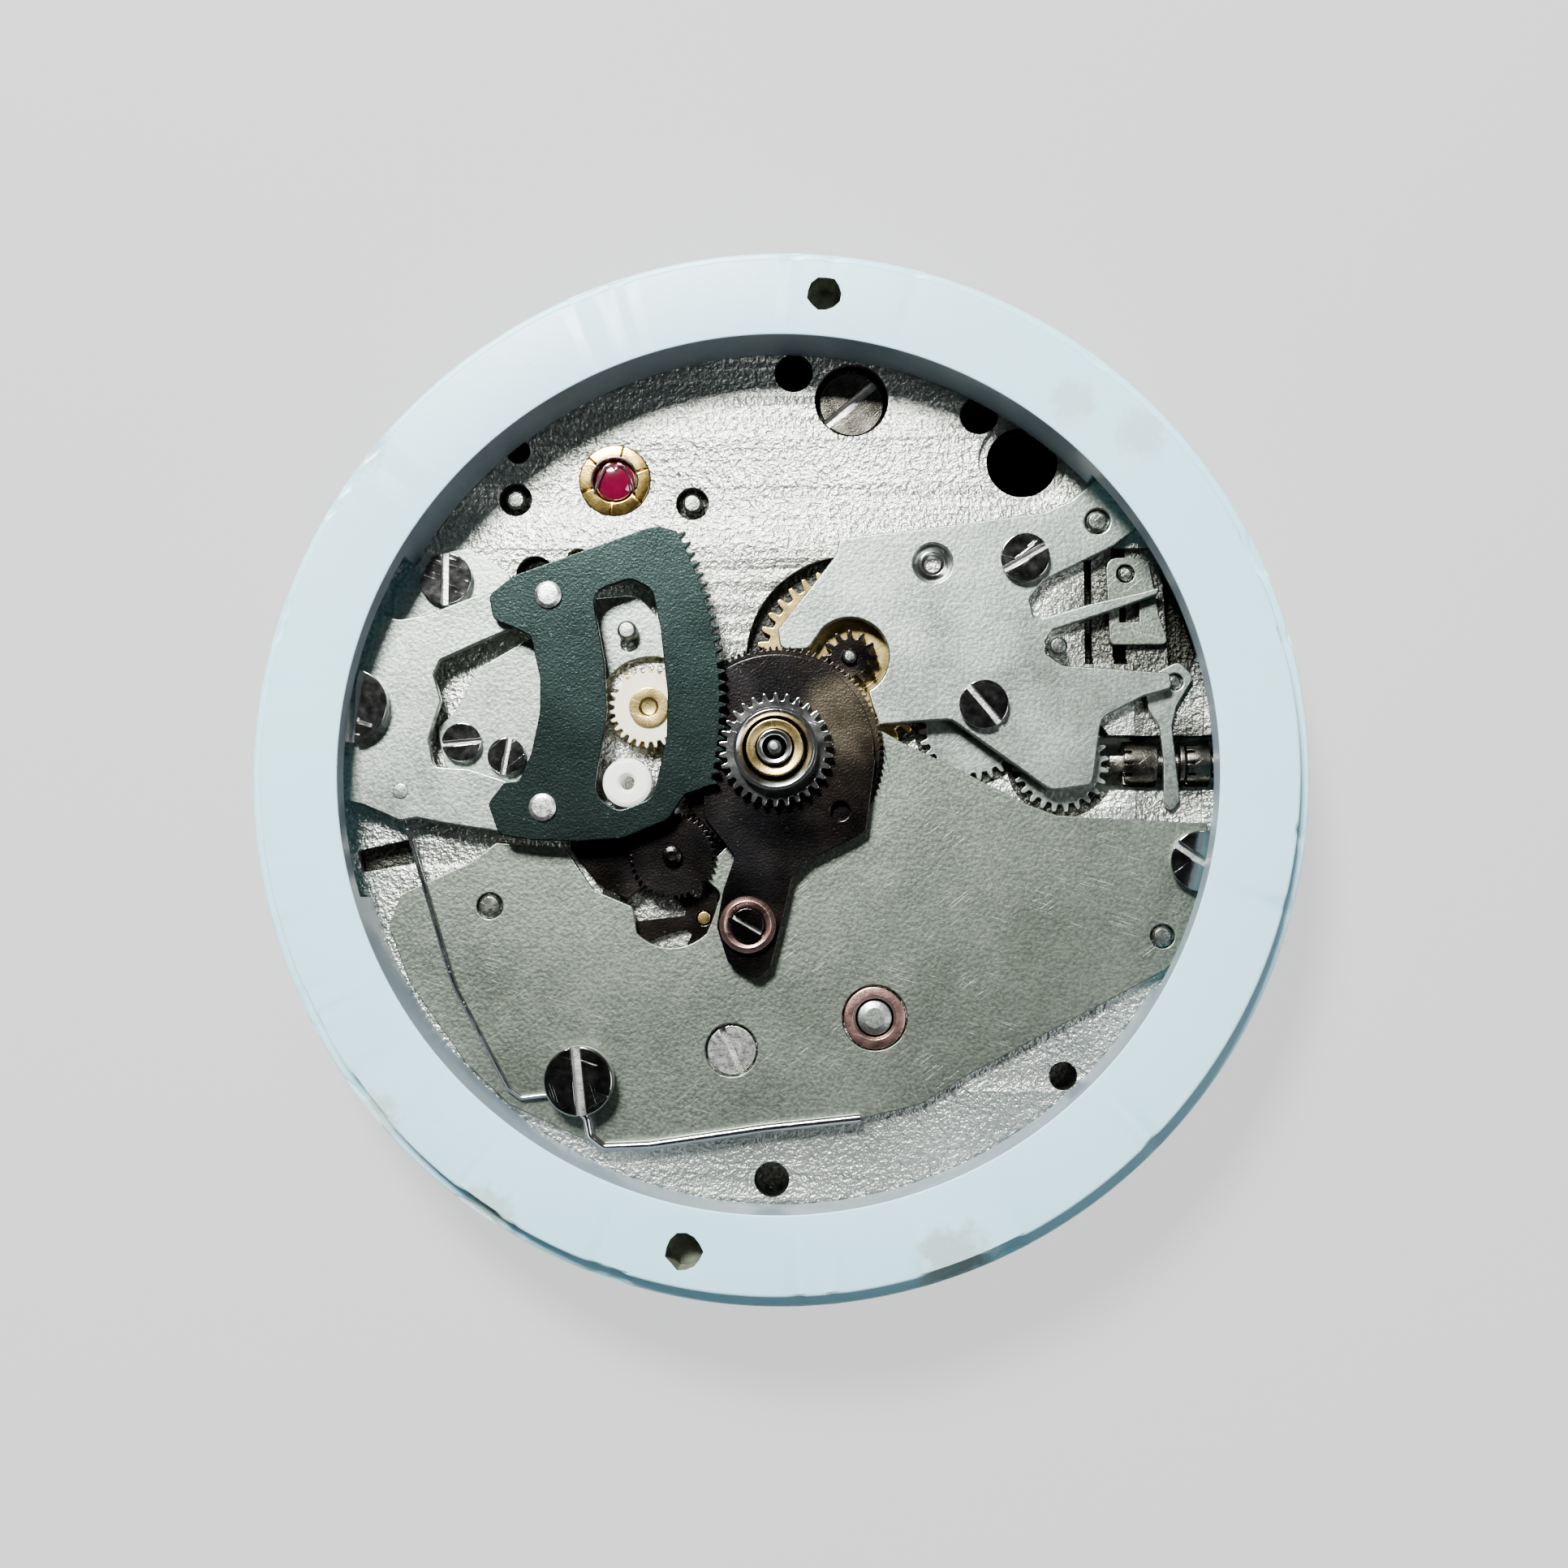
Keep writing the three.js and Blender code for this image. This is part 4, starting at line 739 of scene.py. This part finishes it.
# ---------------------------------------------------------------- cover plates
def lower_cover():
    edge = outline([
        (-8.6, -2.15), (-9.35, -2.73, 0.4), (-11.5, -3.7, 0.6), (-11.9, -4.7, 0.5), (-11.2, -6.45, 0.8),
        (-9.45, -8.85, 1.2), (-8.1, -10.1, 0.8), (-5.08, -11.45, 0.6), (2.6, -10.45, 0.5),
        (4.33, -10.03, 1.0),
        (5.83, -9.1, 0.5), (11.7, -6.0, 0.2), (12.6, -5.0), (13.0, -3.4), (13.0, -1.6), (8.5, -1.35, 0.1),
        (7.62, -1.02, 0.1), (5.35, 0.15), (3.8, 0.9), (3.17, 1.27),
        *arc(HANDS, 3.24, 12, -118, 40), (-2.35, -3.1), (-1.7, -3.7, 0.3), (-2.0, -4.6, 0.3),
        *arc((-3.2, -3.85), 1.5, -45, -135, 14), (-4.4, -4.1, 0.2), (-5.6, -3.6, 0.4), (-6.5, -2.3),
    ])
    holes = [circle(RECESSED_AT, 0.8), circle(BARREL_AT, 0.98), circle(COVER_DOWELS[0], 0.4),
             circle(COVER_DOWELS[1], 0.36)]
    plate = slab([edge, *holes], 3.25, 3.55, 0.035, 2)
    collar = turned(RETAINING_AT, [(0.34, 3.4), (0.8, 3.4), (0.8, 3.82, 0.04), (0.34, 3.82, 0.03)], 64)
    return joined(plate, collar)


made("lower_cover_plate", lower_cover())


def setting_cover():
    edge = outline([
        (0.02, 4.4), (1.8, 6.65, 0.6), (1.93, 7.2, 0.25), (4.6, 7.5, 0.6), (8.16, 7.95, 0.6), (9.0, 8.3, 0.6),
        (10.2, 9.3), (11.4, 7.7), (10.32, 6.9, 0.3), (8.2, 5.85, 0.3), (7.72, 5.3, 0.2), (7.85, 4.72, 0.1),
        (8.1, 4.68, 0.05), (9.6, 5.12, 0.5), (11.15, 5.47, 0.3), (11.7, 5.62, 0.06), (11.6, 5.38, 0.06),
        (10.12, 4.86, 0.5), (8.4, 4.3, 0.1), (8.2, 4.0, 0.1), (8.2, 3.6, 0.2), (8.75, 3.22, 0.2),
        (10.12, 3.12, 0.5), (11.95, 2.98, 0.15), (12.0, 2.5, 0.2), (11.1, 2.25, 0.4), (9.85, 1.6, 0.5),
        (9.55, -0.45, 0.35), (8.3, -0.6, 0.5), (5.3, 1.58, 0.5), (4.08, 1.5, 0.2), (3.08, 1.42),
        *arc(MINUTE_AT, 1.2, -62, 134, 32), (0.95, 3.75, 0.35), (0.1, 3.75, 0.3),
    ])
    holes = [circle(CENTRE_BUSH_AT, 0.6), circle(SETTING_DOWEL, 0.38)]
    plate = slab([edge, *holes], 3.25, 3.6, 0.055, 3)
    bush = turned(CENTRE_BUSH_AT, [(0.2, 3.25), (0.61, 3.25), (0.61, 3.4, 0.03), (0.36, 3.5, 0.04),
                                   (0.24, 3.36, 0.03)])
    return dressed((plate, STEEL), (bush, POLISHED))


made("setting_cover_plate", setting_cover())


def retaining_plate():
    edge = outline([
        *arc(HANDS, 2.95, 140, -2, 40),
        (3.0, 0.3, 0.1), (2.72, -1.8, 0.2), (2.35, -2.05, 0.1), (1.0, -2.7, 0.3),
        (0.5, -3.2, 0.3), (0.16, -4.7, 0.4), (-0.15, -5.9, 0.25), (-0.6, -6.3, 0.3), (-1.45, -5.8, 0.3),
        (-1.8, -4.7, 0.4), (-1.6, -3.6, 0.3), (-1.25, -2.6, 0.3), (-2.2, -1.4),
    ])
    holes = [circle(HANDS, 0.99), circle((1.93, -1.23), 0.3), circle(RETAINING_AT, 0.4)]
    return slab([edge, *holes], 3.85, 4.05, 0.03)


made("retaining_plate", retaining_plate())
made("retaining_collar", turned(RETAINING_AT, [
    (0.54, 4.08), (0.85, 4.08, 0.02), (0.85, 4.26, 0.05), (0.7, 4.36, 0.04), (0.54, 4.28, 0.03)]))
made("barrel_arbor_bush", turned(BARREL_AT, [
    (0.58, 3.25), (0.93, 3.25), (0.93, 3.6, 0.04), (0.66, 3.62, 0.03), (0.58, 3.55, 0.02)]))

# ---------------------------------------------------------------- bridges around the rack
made("side_bridge", slab([outline([
    (-12.0, 4.6), (-11.9, 5.8, 0.5), (-10.9, 6.8, 0.6), (-9.6, 7.0, 0.5), (-8.3, 6.2, 0.3), (-8.1, 4.6, 0.2),
    (-9.4, 4.05, 0.3), (-11.2, 3.7, 0.3)])], 3.25, 3.48))


def rack_bridge():
    edge = outline([
        (-9.3, 3.2, 0.1), (-8.1, 3.9, 0.3), (-5.6, 5.4, 0.5), (-4.3, 5.5, 0.8), (-3.35, 4.4, 0.5),
        (-3.2, 3.45, 0.1), *arc(IVORY_AT, 1.62, 65, 190, 24), (-6.1, 0.6, 0.2), (-7.4, -0.2, 0.3),
        (-8.5, -0.35, 0.4),
        (-10.2, 0.1, 0.4), (-10.5, 1.4, 0.3), (-9.9, 1.9, 0.3),
    ])
    pin = turned((-4.58, 4.33), [(0, 3.4), (0.3, 3.4), (0.3, 3.94, 0.03), (0.22, 4.02, 0.05), (0, 4.02)], 48)
    return joined(slab([edge, circle((-4.56, 3.98), 0.26)], 3.25, 3.5), pin)


made("rack_bridge", rack_bridge())
made("collar_post", turned((-4.53, -0.35), [
    (0.22, 3.22), (0.4, 3.22), (0.4, 3.52), (0.75, 3.52, 0.03), (0.75, 4.0, 0.05), (0.62, 4.07, 0.04),
    (0.3, 4.07, 0.03), (0.22, 3.98, 0.03)]))

# ---------------------------------------------------------------- balance jewel
def jewel_block():
    ring = turned(BALANCE_AT, [(0.4, 2.84), (1.1, 2.84), (1.1, 3.26, 0.03), (0.72, 3.29, 0.03),
                               (0.64, 3.02, 0.03), (0.4, 3.02)], 96)
    notch_angles = (20, 75, 140, 200, 262, 320)
    notches = [block(0.6, 1.3, -0.04, 0.04, 3.12, 3.5, 0, a, (*BALANCE_AT, 0)) for a in notch_angles]
    return cut(ring, notches, 0.012)


made("jewel_block", jewel_block(), GILT)
made("cap_jewel", turned(BALANCE_AT, [
    (0, 3.05), (0.6, 3.05), (0.6, 3.14, 0.03), (0.42, 3.22, 0.05), (0, 3.26)], 64))


def lyre():
    x, y = BALANCE_AT
    shape = [(-0.62, -0.42), (-0.5, 0.0), (-0.3, 0.42), (-0.12, 0.5), (0.0, 0.36), (0.12, 0.5), (0.3, 0.42),
             (0.5, 0.0), (0.62, -0.42)]
    legs = wire([(x + u, y + v, 3.33) for u, v in shape], 0.035, 8)
    rim = wire([(*polar(BALANCE_AT, 0.72, math.radians(a)), 3.33) for a in range(-20, 201, 20)], 0.03, 8)
    return joined(legs, rim)


made("jewel_spring", lyre(), finish=POLISHED)

# ---------------------------------------------------------------- retrograde rack
RIVETS = ((-6.92, 5.35), (-7.03, -1.12))


def rack_arm():
    edge = outline([
        (-13.7, 1.9), (-13.55, 4.0, 0.8), (-12.35, 4.95, 0.3), (-11.6, 4.68, 0.5), (-10.79, 4.81, 0.5),
        (-8.5, 5.67, 0.5), (-6.9, 6.25, 0.3), (-6.2, 5.6, 0.5), (-6.7, 4.6, 0.3), (-8.3, 4.3, 0.3),
        (-9.2, 3.92, 0.3), (-10.3, 3.42, 0.2), (-10.5, 3.0, 0.2), (-10.25, 2.2, 0.3), (-10.62, 1.0, 0.3),
        (-10.45, 0.15, 0.3), (-9.35, 0.08, 0.3), (-7.9, -0.4, 0.3), (-6.5, -0.6, 0.3), (-6.4, -1.6, 0.4),
        (-7.2, -2.0, 0.3), (-8.3, -1.85, 0.3), (-9.95, -1.6, 0.3), (-10.95, -1.4, 0.2), (-11.45, -1.5, 0.3),
        (-12.6, -1.0, 0.2), (-13.35, -0.85, 0.2),
    ])
    plate = slab([edge, circle(PIVOT, 0.56)], 3.8, 4.1, 0.045, 3)
    pin = turned((-11.45, -0.6), [(0, 3.56), (0.24, 3.56, 0.02), (0.24, 4.13, 0.04), (0, 4.13)], 40)
    return joined(plate, pin)


def rivet(at):
    return turned(at, [(0, 4.0), (0.24, 4.0), (0.24, 4.45), (0.43, 4.45, 0.02), (0.42, 4.52, 0.03),
                       (0.3, 4.565, 0.06), (0.0, 4.57)], 56)


made("rack_arm", rack_arm())
piece("look_rivets", joined(*(rivet(at) for at in RIVETS)), "rack", TURNED, [])


def rack_sector():
    step = 360 / rack_gear["teeth"]
    start = math.degrees(rack_gear["phase"])
    first, last = math.ceil((-13.6 - start) / step), math.floor((29.6 - start) / step)
    edge = outline([
        *teeth_along(rack_gear, first, last),
        (-3.55, 7.45), (-3.9, 7.4, 0.1), (-8.0, 5.95, 0.35), (-8.75, 5.35, 0.3),
        (-8.6, 4.6, 0.3), (-8.0, 4.38, 0.2), (-7.45, 4.1, 0.3), (-7.15, 2.8, 0.8), (-7.15, 1.75, 0.8),
        (-7.4, 0.5, 0.6), (-7.75, -0.3, 0.2), (-8.2, -0.35, 0.2), (-8.7, -1.0, 0.3), (-8.35, -1.95, 0.35),
        (-7.3, -2.1, 0.4), (-5.95, -2.15, 0.5), (-4.6, -2.05, 0.4), (-3.25, -1.5, 0.5), (-2.75, -0.75),
    ])
    window = outline([
        (-4.4, 5.85, 0.5), (-5.6, 5.45, 0.6), (-5.2, 3.3, 0.8), (-5.1, 1.77, 0.8), (-5.5, -0.75, 0.6),
        (-4.75, -1.25, 0.5), (-3.7, -0.85, 0.6), (-3.3, 0.95, 0.8), (-3.27, 2.3, 0.8), (-3.5, 4.33, 0.8),
        (-3.75, 5.5, 0.5),
    ])
    return slab([edge, window, *(circle(at, 0.28) for at in RIVETS)], 4.15, 4.45, 0.03)


made("rack_sector", rack_sector())


def rack_spring():
    z = 3.69
    route = [(-11.3, -1.0, z, 0), (-11.42, -1.4, z, 0.2), (-10.0, -5.95, z, 0.4), (-9.75, -6.6, z, 0.3),
             (-8.1, -9.6, z, 0.15), (-7.72, -9.87, z, 0.2), (-6.95, -9.78, z, 0.2), (-6.35, -9.85, z, 0.25),
             (-5.72, -10.45, z, 0.3), (-5.62, -11.0, z, 0.2), (-5.2, -11.32, z, 0.2), (-3.8, -11.25, z, 0.5),
             (-0.4, -10.74, z, 0.5), (2.5, -10.42, z, 0)]
    thin = wire(rounded_route(route[:8] + [(-5.9, -10.26, z, 0)]), 0.075)
    thick = wire(rounded_route([(-6.1, -10.08, z, 0)] + route[8:]), 0.145)
    return joined(thin, thick)


made("rack_spring", rack_spring())

# ---------------------------------------------------------------- centre: pinions and wheels
made("display_pinion", joined(
    slab([toothed(display_pinion, BROAD), circle(HANDS, 1.0)], 4.15, 4.45, 0.02),
    turned(HANDS, [(0.98, 4.15), (1.27, 4.4), (1.25, 4.92, 0.04), (1.16, 4.98, 0.03),
                   (0.98, 4.9, 0.03)], 96)))
made("hour_wheel", joined(
    slab([toothed(hour_wheel), circle(HANDS, 0.56)], 3.3, 3.5, 0.02),
    turned(HANDS, [(0.56, 3.3), (0.95, 3.3), (0.95, 3.57), (0.85, 3.6), (0.85, 5.2, 0.04),
                   (0.58, 5.14, 0.03)], 80)))
made("display_drive_wheel", slab([toothed(fine_wheel), circle(HANDS, 0.9)], 3.6, 3.78, 0.015))
made("cannon_pinion", joined(
    slab([toothed(cannon, BROAD), circle(HANDS, 0.34)], 2.75, 2.97, 0.02),
    slab([toothed(cannon_wheel), circle(HANDS, 0.34)], 2.99, 3.16, 0.02),
    turned(HANDS, [(0.34, 2.75), (0.7, 2.75), (0.7, 3.2), (0.52, 3.24), (0.52, 5.4, 0.04),
                   (0.36, 5.36, 0.03)], 64)))
made("minute_wheel", slab([toothed(minute_wheel, BROAD), circle(MINUTE_AT, 0.24)], 2.75, 2.93, 0.025))
made("minute_pinion", slab([toothed(minute_pinion, BROAD), circle(MINUTE_AT, 0.24)], 2.97, 3.5, 0.03))
made("small_display_wheel", joined(
    slab([toothed(small_wheel)], 3.6, 3.78, 0.015),
    turned(small_wheel["at"], [(0, 3.23), (0.2, 3.23), (0.2, 3.6), (0.3, 3.6), (0.3, 3.98, 0.04),
                               (0.14, 4.02, 0.03), (0, 4.0)], 48)))
made("small_wheel_bridge", slab([outline([
    (-6.2, -1.6, 0.2), (-6.35, -2.3, 0.3), (-5.5, -3.4, 0.4), (-4.55, -3.9, 0.1), (-4.1, -3.5, 0.2),
    (-3.2, -3.45, 0.2), (-2.45, -3.6, 0.1), (-2.6, -2.95, 0.2), (-2.1, -2.15, 0.3), (-3.4, -1.7, 0.4)]),
    circle(small_wheel["at"], 0.24)], 3.25, 3.55))
ivory_rim = gear(IVORY_AT, 27, 1.16)
made("ivory_wheel", slab([toothed(ivory_rim, BROAD), circle(IVORY_AT, 0.34)], 3.84, 4.0, 0.02))
made("ivory_wheel_hub", joined(
    slab([toothed(ivory_pinion, BROAD)], 3.3, 3.5, 0.02),
    turned(IVORY_AT, [(0, 3.23), (0.2, 3.23), (0.2, 3.3), (0.31, 3.4), (0.31, 4.02), (0.6, 4.02),
                      (0.6, 4.12, 0.03), (0.3, 4.11, 0.02), (0.22, 4.04, 0.02), (0, 4.02)], 64)))

# ---------------------------------------------------------------- keyless work
for node, wheel in (("intermediate_setting_wheel", middle_wheel), ("setting_wheel", setting_wheel)):
    made(node, slab([toothed(wheel, BROAD), circle(wheel["at"], 0.3)], 2.75, 2.93, 0.02))


def along_stem(corners, n=56):
    mesh = turned((0, 0), corners, n)
    mesh.transform(STEM_FRAME)
    return mesh


def sleeve(x0, x1, waist):
    """A toothed sleeve on the stem, with a waist for the yoke on the sliding pinion."""
    groove = [(0.7, x0 + 1.0, 0.03), (0.42, x0 + 1.03, 0.03), (0.42, x1 - 0.18, 0.03), (0.7, x1 - 0.15, 0.03)]
    body = along_stem([(0.25, x0), (0.7, x0, 0.04), *(groove if waist else []), (0.7, x1, 0.04), (0.25, x1)])
    notches = []
    for i in range(12):
        mesh = block(x0 - 1, x0 + 0.24, -0.055, 0.055, 0.42, 1, 0)
        mesh.transform(Matrix.Translation((0, STEM_Y, STEM_Z)) @ Matrix.Rotation(math.pi * i / 6, 4, "X"))
        notches.append(mesh)
    return cut(body, notches, 0.01)


made("winding_stem", joined(
    along_stem([(0, 9.9), (0.2, 9.9, 0.03), (0.2, 10.3), (0, 10.3)]),
    block(10.2, 13.4, STEM_Y - 0.24, STEM_Y + 0.24, STEM_Z - 0.24, STEM_Z + 0.24, 0.02),
    along_stem([(0, 13.3), (0.42, 13.3, 0.03), (0.42, 15.0, 0.04), (0, 15.0)])), DARK_STEEL)
made("sliding_pinion", sleeve(10.6, 12.45, True), DARK_STEEL)
made("winding_pinion", sleeve(12.5, 13.22, False), DARK_STEEL)
made("yoke", slab([outline([
    (11.25, 2.35, 0.05), (11.35, 1.85, 0.3), (11.66, 1.38, 0.3), (11.76, 0.4, 0.5), (11.76, -0.95, 0.1),
    (12.0, -1.25, 0.15), (12.25, -0.9, 0.1), (12.2, -0.15, 0.5), (12.05, 1.38, 0.3), (12.2, 2.0, 0.3),
    (12.75, 2.9, 0.3), (12.3, 3.4, 0.3), (11.3, 2.9, 0.2)]), circle(YOKE_AT, 0.26)], 2.98, 3.18, 0.04, 3))
made("setting_lever", slab([outline([
    (10.2, 3.9, 0.2), (10.1, 6.6, 0.4), (11.4, 6.6, 0.4), (11.7, 4.8, 0.5), (12.0, 3.9, 0.2)]),
    circle(LEVER_AT, 0.28), [(10.5, 4.6), (11.1, 4.6), (11.1, 5.3), (10.5, 5.3)]], 2.98, 3.2, 0.03), SATIN)

# ---------------------------------------------------------------- works on the back
def arbor(at, r, bottom, top):
    return turned(at, [(0, bottom), (r, bottom, 0.03), (r, top, 0.03), (0, top)], 32)


def spoked(at, outer, inner, count, first=0.0, width=9):
    """Openings between the spokes of a wheel."""
    span = 360 / count
    return [
        outline([*arc(at, outer, first + span * i + width, first + span * (i + 1) - width, 10),
                 *arc(at, inner, first + span * (i + 1) - width * 2.2, first + span * i + width * 2.2, 4)])
        for i in range(count)
    ]


made("barrel", joined(
    slab([toothed(barrel), circle(BARREL_AT, 0.68)], 1.9, 2.1, 0.02),
    slab([circle(BARREL_AT, 4.75, 160), circle(BARREL_AT, 0.68)], 1.25, 1.92, 0.05, 3)))
made("great_wheel", joined(
    slab([toothed(great_wheel), *spoked(GREAT_AT, 2.9, 0.7, 5)], 1.02, 1.16, 0.015),
    slab([toothed(great_pinion, BROAD)], 1.86, 2.14, 0.02), arbor(GREAT_AT, 0.2, 0.98, 3.18)))
made("cannon_drive_wheel", slab([
    toothed(drive_wheel), circle(GREAT_AT, 0.24), *spoked(GREAT_AT, 2.4, 0.6, 6, 12)], 2.99, 3.16, 0.015))
made("third_wheel", joined(
    slab([toothed(third_pinion, BROAD)], 1.0, 1.3, 0.02),
    slab([toothed(third_wheel), *spoked(THIRD_AT, 2.95, 0.7, 5, 20)], 1.36, 1.5, 0.015),
    arbor(THIRD_AT, 0.18, 0.98, 2.17)))
made("sweep_seconds_wheel", joined(
    slab([toothed(gear(HANDS, 8, 0.465), BROAD)], 1.33, 1.53, 0.015),
    slab([toothed(fourth_wheel), *spoked(HANDS, 3.1, 0.7, 5, 30)], 1.66, 1.8, 0.015),
    arbor(HANDS, 0.17, 0.98, 2.6),
    turned(HANDS, [(0, 2.5), (0.2, 2.5), (0.2, 5.4), (0.13, 5.45), (0.13, 5.7, 0.03), (0, 5.7)], 32)))
made("ratchet_wheel", joined(
    slab([toothed(ratchet)], 0.3, 0.5, 0.02),
    turned(BARREL_AT, [(0, 0.4), (0.52, 0.4), (0.52, 3.54, 0.05), (0.3, 3.6, 0.04), (0, 3.6)], 56)))
made("crown_wheel", joined(
    slab([toothed(crown_gear)], 0.3, 0.5, 0.02), arbor(CROWN_AT, 0.5, 0.4, 1.6),
    slab([toothed(gear(CROWN_AT, 24, 3.55))], 1.5, 1.74, 0.02)))
for node in ("escape_wheel", "pallet_fork", "balance_wheel", "click", "barrel_bridge", "train_bridge",
             "balance_cock"):
    refined(node, BODY_OF[node], LOOKS[SLOT_OF[node]], 0.02)


# ---------------------------------------------------------------- floor, light and camera
def staged(name, build, drop, finish):
    """A stage object under the ring, a little below the resting plane so that faces never coincide."""
    bm = bmesh.new()
    build(bm)
    mesh = bpy.data.meshes.new(name)
    bm.to_mesh(mesh)
    bm.free()
    obj = linked(name, mesh)
    obj.location = (0, 0, -drop * MM)
    mesh.materials.append(finish)


def stage_floor():
    """A pale floor that gives off light, so its shadows stay faint."""
    finish = look("floor", (0.16, 0.16, 0.16), rough=0.9, spread=0.02, grain=1.5, grain_depth=0.01,
                  tint=(0.15, 0.15, 0.15), tint_size=30, emission=6.6)
    staged("floor", lambda bm: bmesh.ops.create_grid(
        bm, x_segments=24, y_segments=24, size=0.4), 0.02, finish)


def shade_under():
    """A dark mat of painted shade under the ring that keeps the glowing floor from showing through the
    plate's holes.
    """
    finish = look("mat", (0.02, 0.02, 0.02), rough=0.9, grain=0.4, grain_depth=0.01)
    staged("shade_under", lambda bm: bmesh.ops.create_circle(
        bm, cap_ends=True, segments=96, radius=(PLATE_R + 0.9) * MM), 0.01, finish)


def area_light(name, direction, distance_mm, size_mm, power, color):
    data = bpy.data.lights.new(name, "AREA")
    data.shape = "DISK"
    data.size = size_mm * MM
    data.energy = power
    data.color = color
    obj = linked(name, data)
    way = Vector(direction).normalized()
    obj.location = Vector((0, 0, 3)) * MM + way * distance_mm * MM
    obj.rotation_euler = way.to_track_quat("Z", "Y").to_euler()


def world():
    """A dim studio: dark straight above, lighter towards the walls."""
    w = bpy.data.worlds.new("studio")
    bpy.context.scene.world = w
    w.use_nodes = True
    nodes, links = w.node_tree.nodes, w.node_tree.links
    coord = nodes.new("ShaderNodeTexCoord")
    split = nodes.new("ShaderNodeSeparateXYZ")
    links.new(coord.outputs["Generated"], split.inputs[0])
    ramp = nodes.new("ShaderNodeValToRGB")
    stops = ((0.0, 0.6), (0.45, 0.8), (0.75, 0.5), (0.90, 0.16), (0.97, 0.05), (1.0, 0.03))
    for i, (at, value) in enumerate(stops):
        element = ramp.color_ramp.elements[i] if i < 2 else ramp.color_ramp.elements.new(at)
        element.position = at
        element.color = (value, value, value * 1.01, 1)
    links.new(split.outputs["Z"], ramp.inputs["Fac"])
    links.new(ramp.outputs["Color"], nodes["Background"].inputs["Color"])
    nodes["Background"].inputs["Strength"].default_value = 0.10


def camera():
    """Close above the movement and tilted a little, so the bore wall shows at the upper left."""
    eye = Vector((2.5, -4.55, PLATE_TOP + 57)) * MM
    target = Vector((0.2, -0.25, PLATE_TOP)) * MM
    back = (eye - target).normalized()
    right = Vector((0, 1, 0)).cross(back).normalized()
    up = back.cross(right)
    data = bpy.data.cameras.new("camera")
    data.sensor_width = 36
    data.lens = 42.8
    data.shift_y = -0.002
    data.clip_start = 0.001
    data.clip_end = 10
    obj = linked("camera", data)
    obj.matrix_world = Matrix.Translation(eye) @ Matrix((right, up, back)).transposed().to_4x4()
    bpy.context.scene.camera = obj


stage_floor()
shade_under()
world()
area_light("key", (-0.28, 0.72, 1.05), 190, 52, 1.48, (0.985, 1.0, 0.97))
area_light("fill", (0.6, -0.1, 0.9), 260, 90, 0.12, (0.95, 0.98, 1.0))
camera()
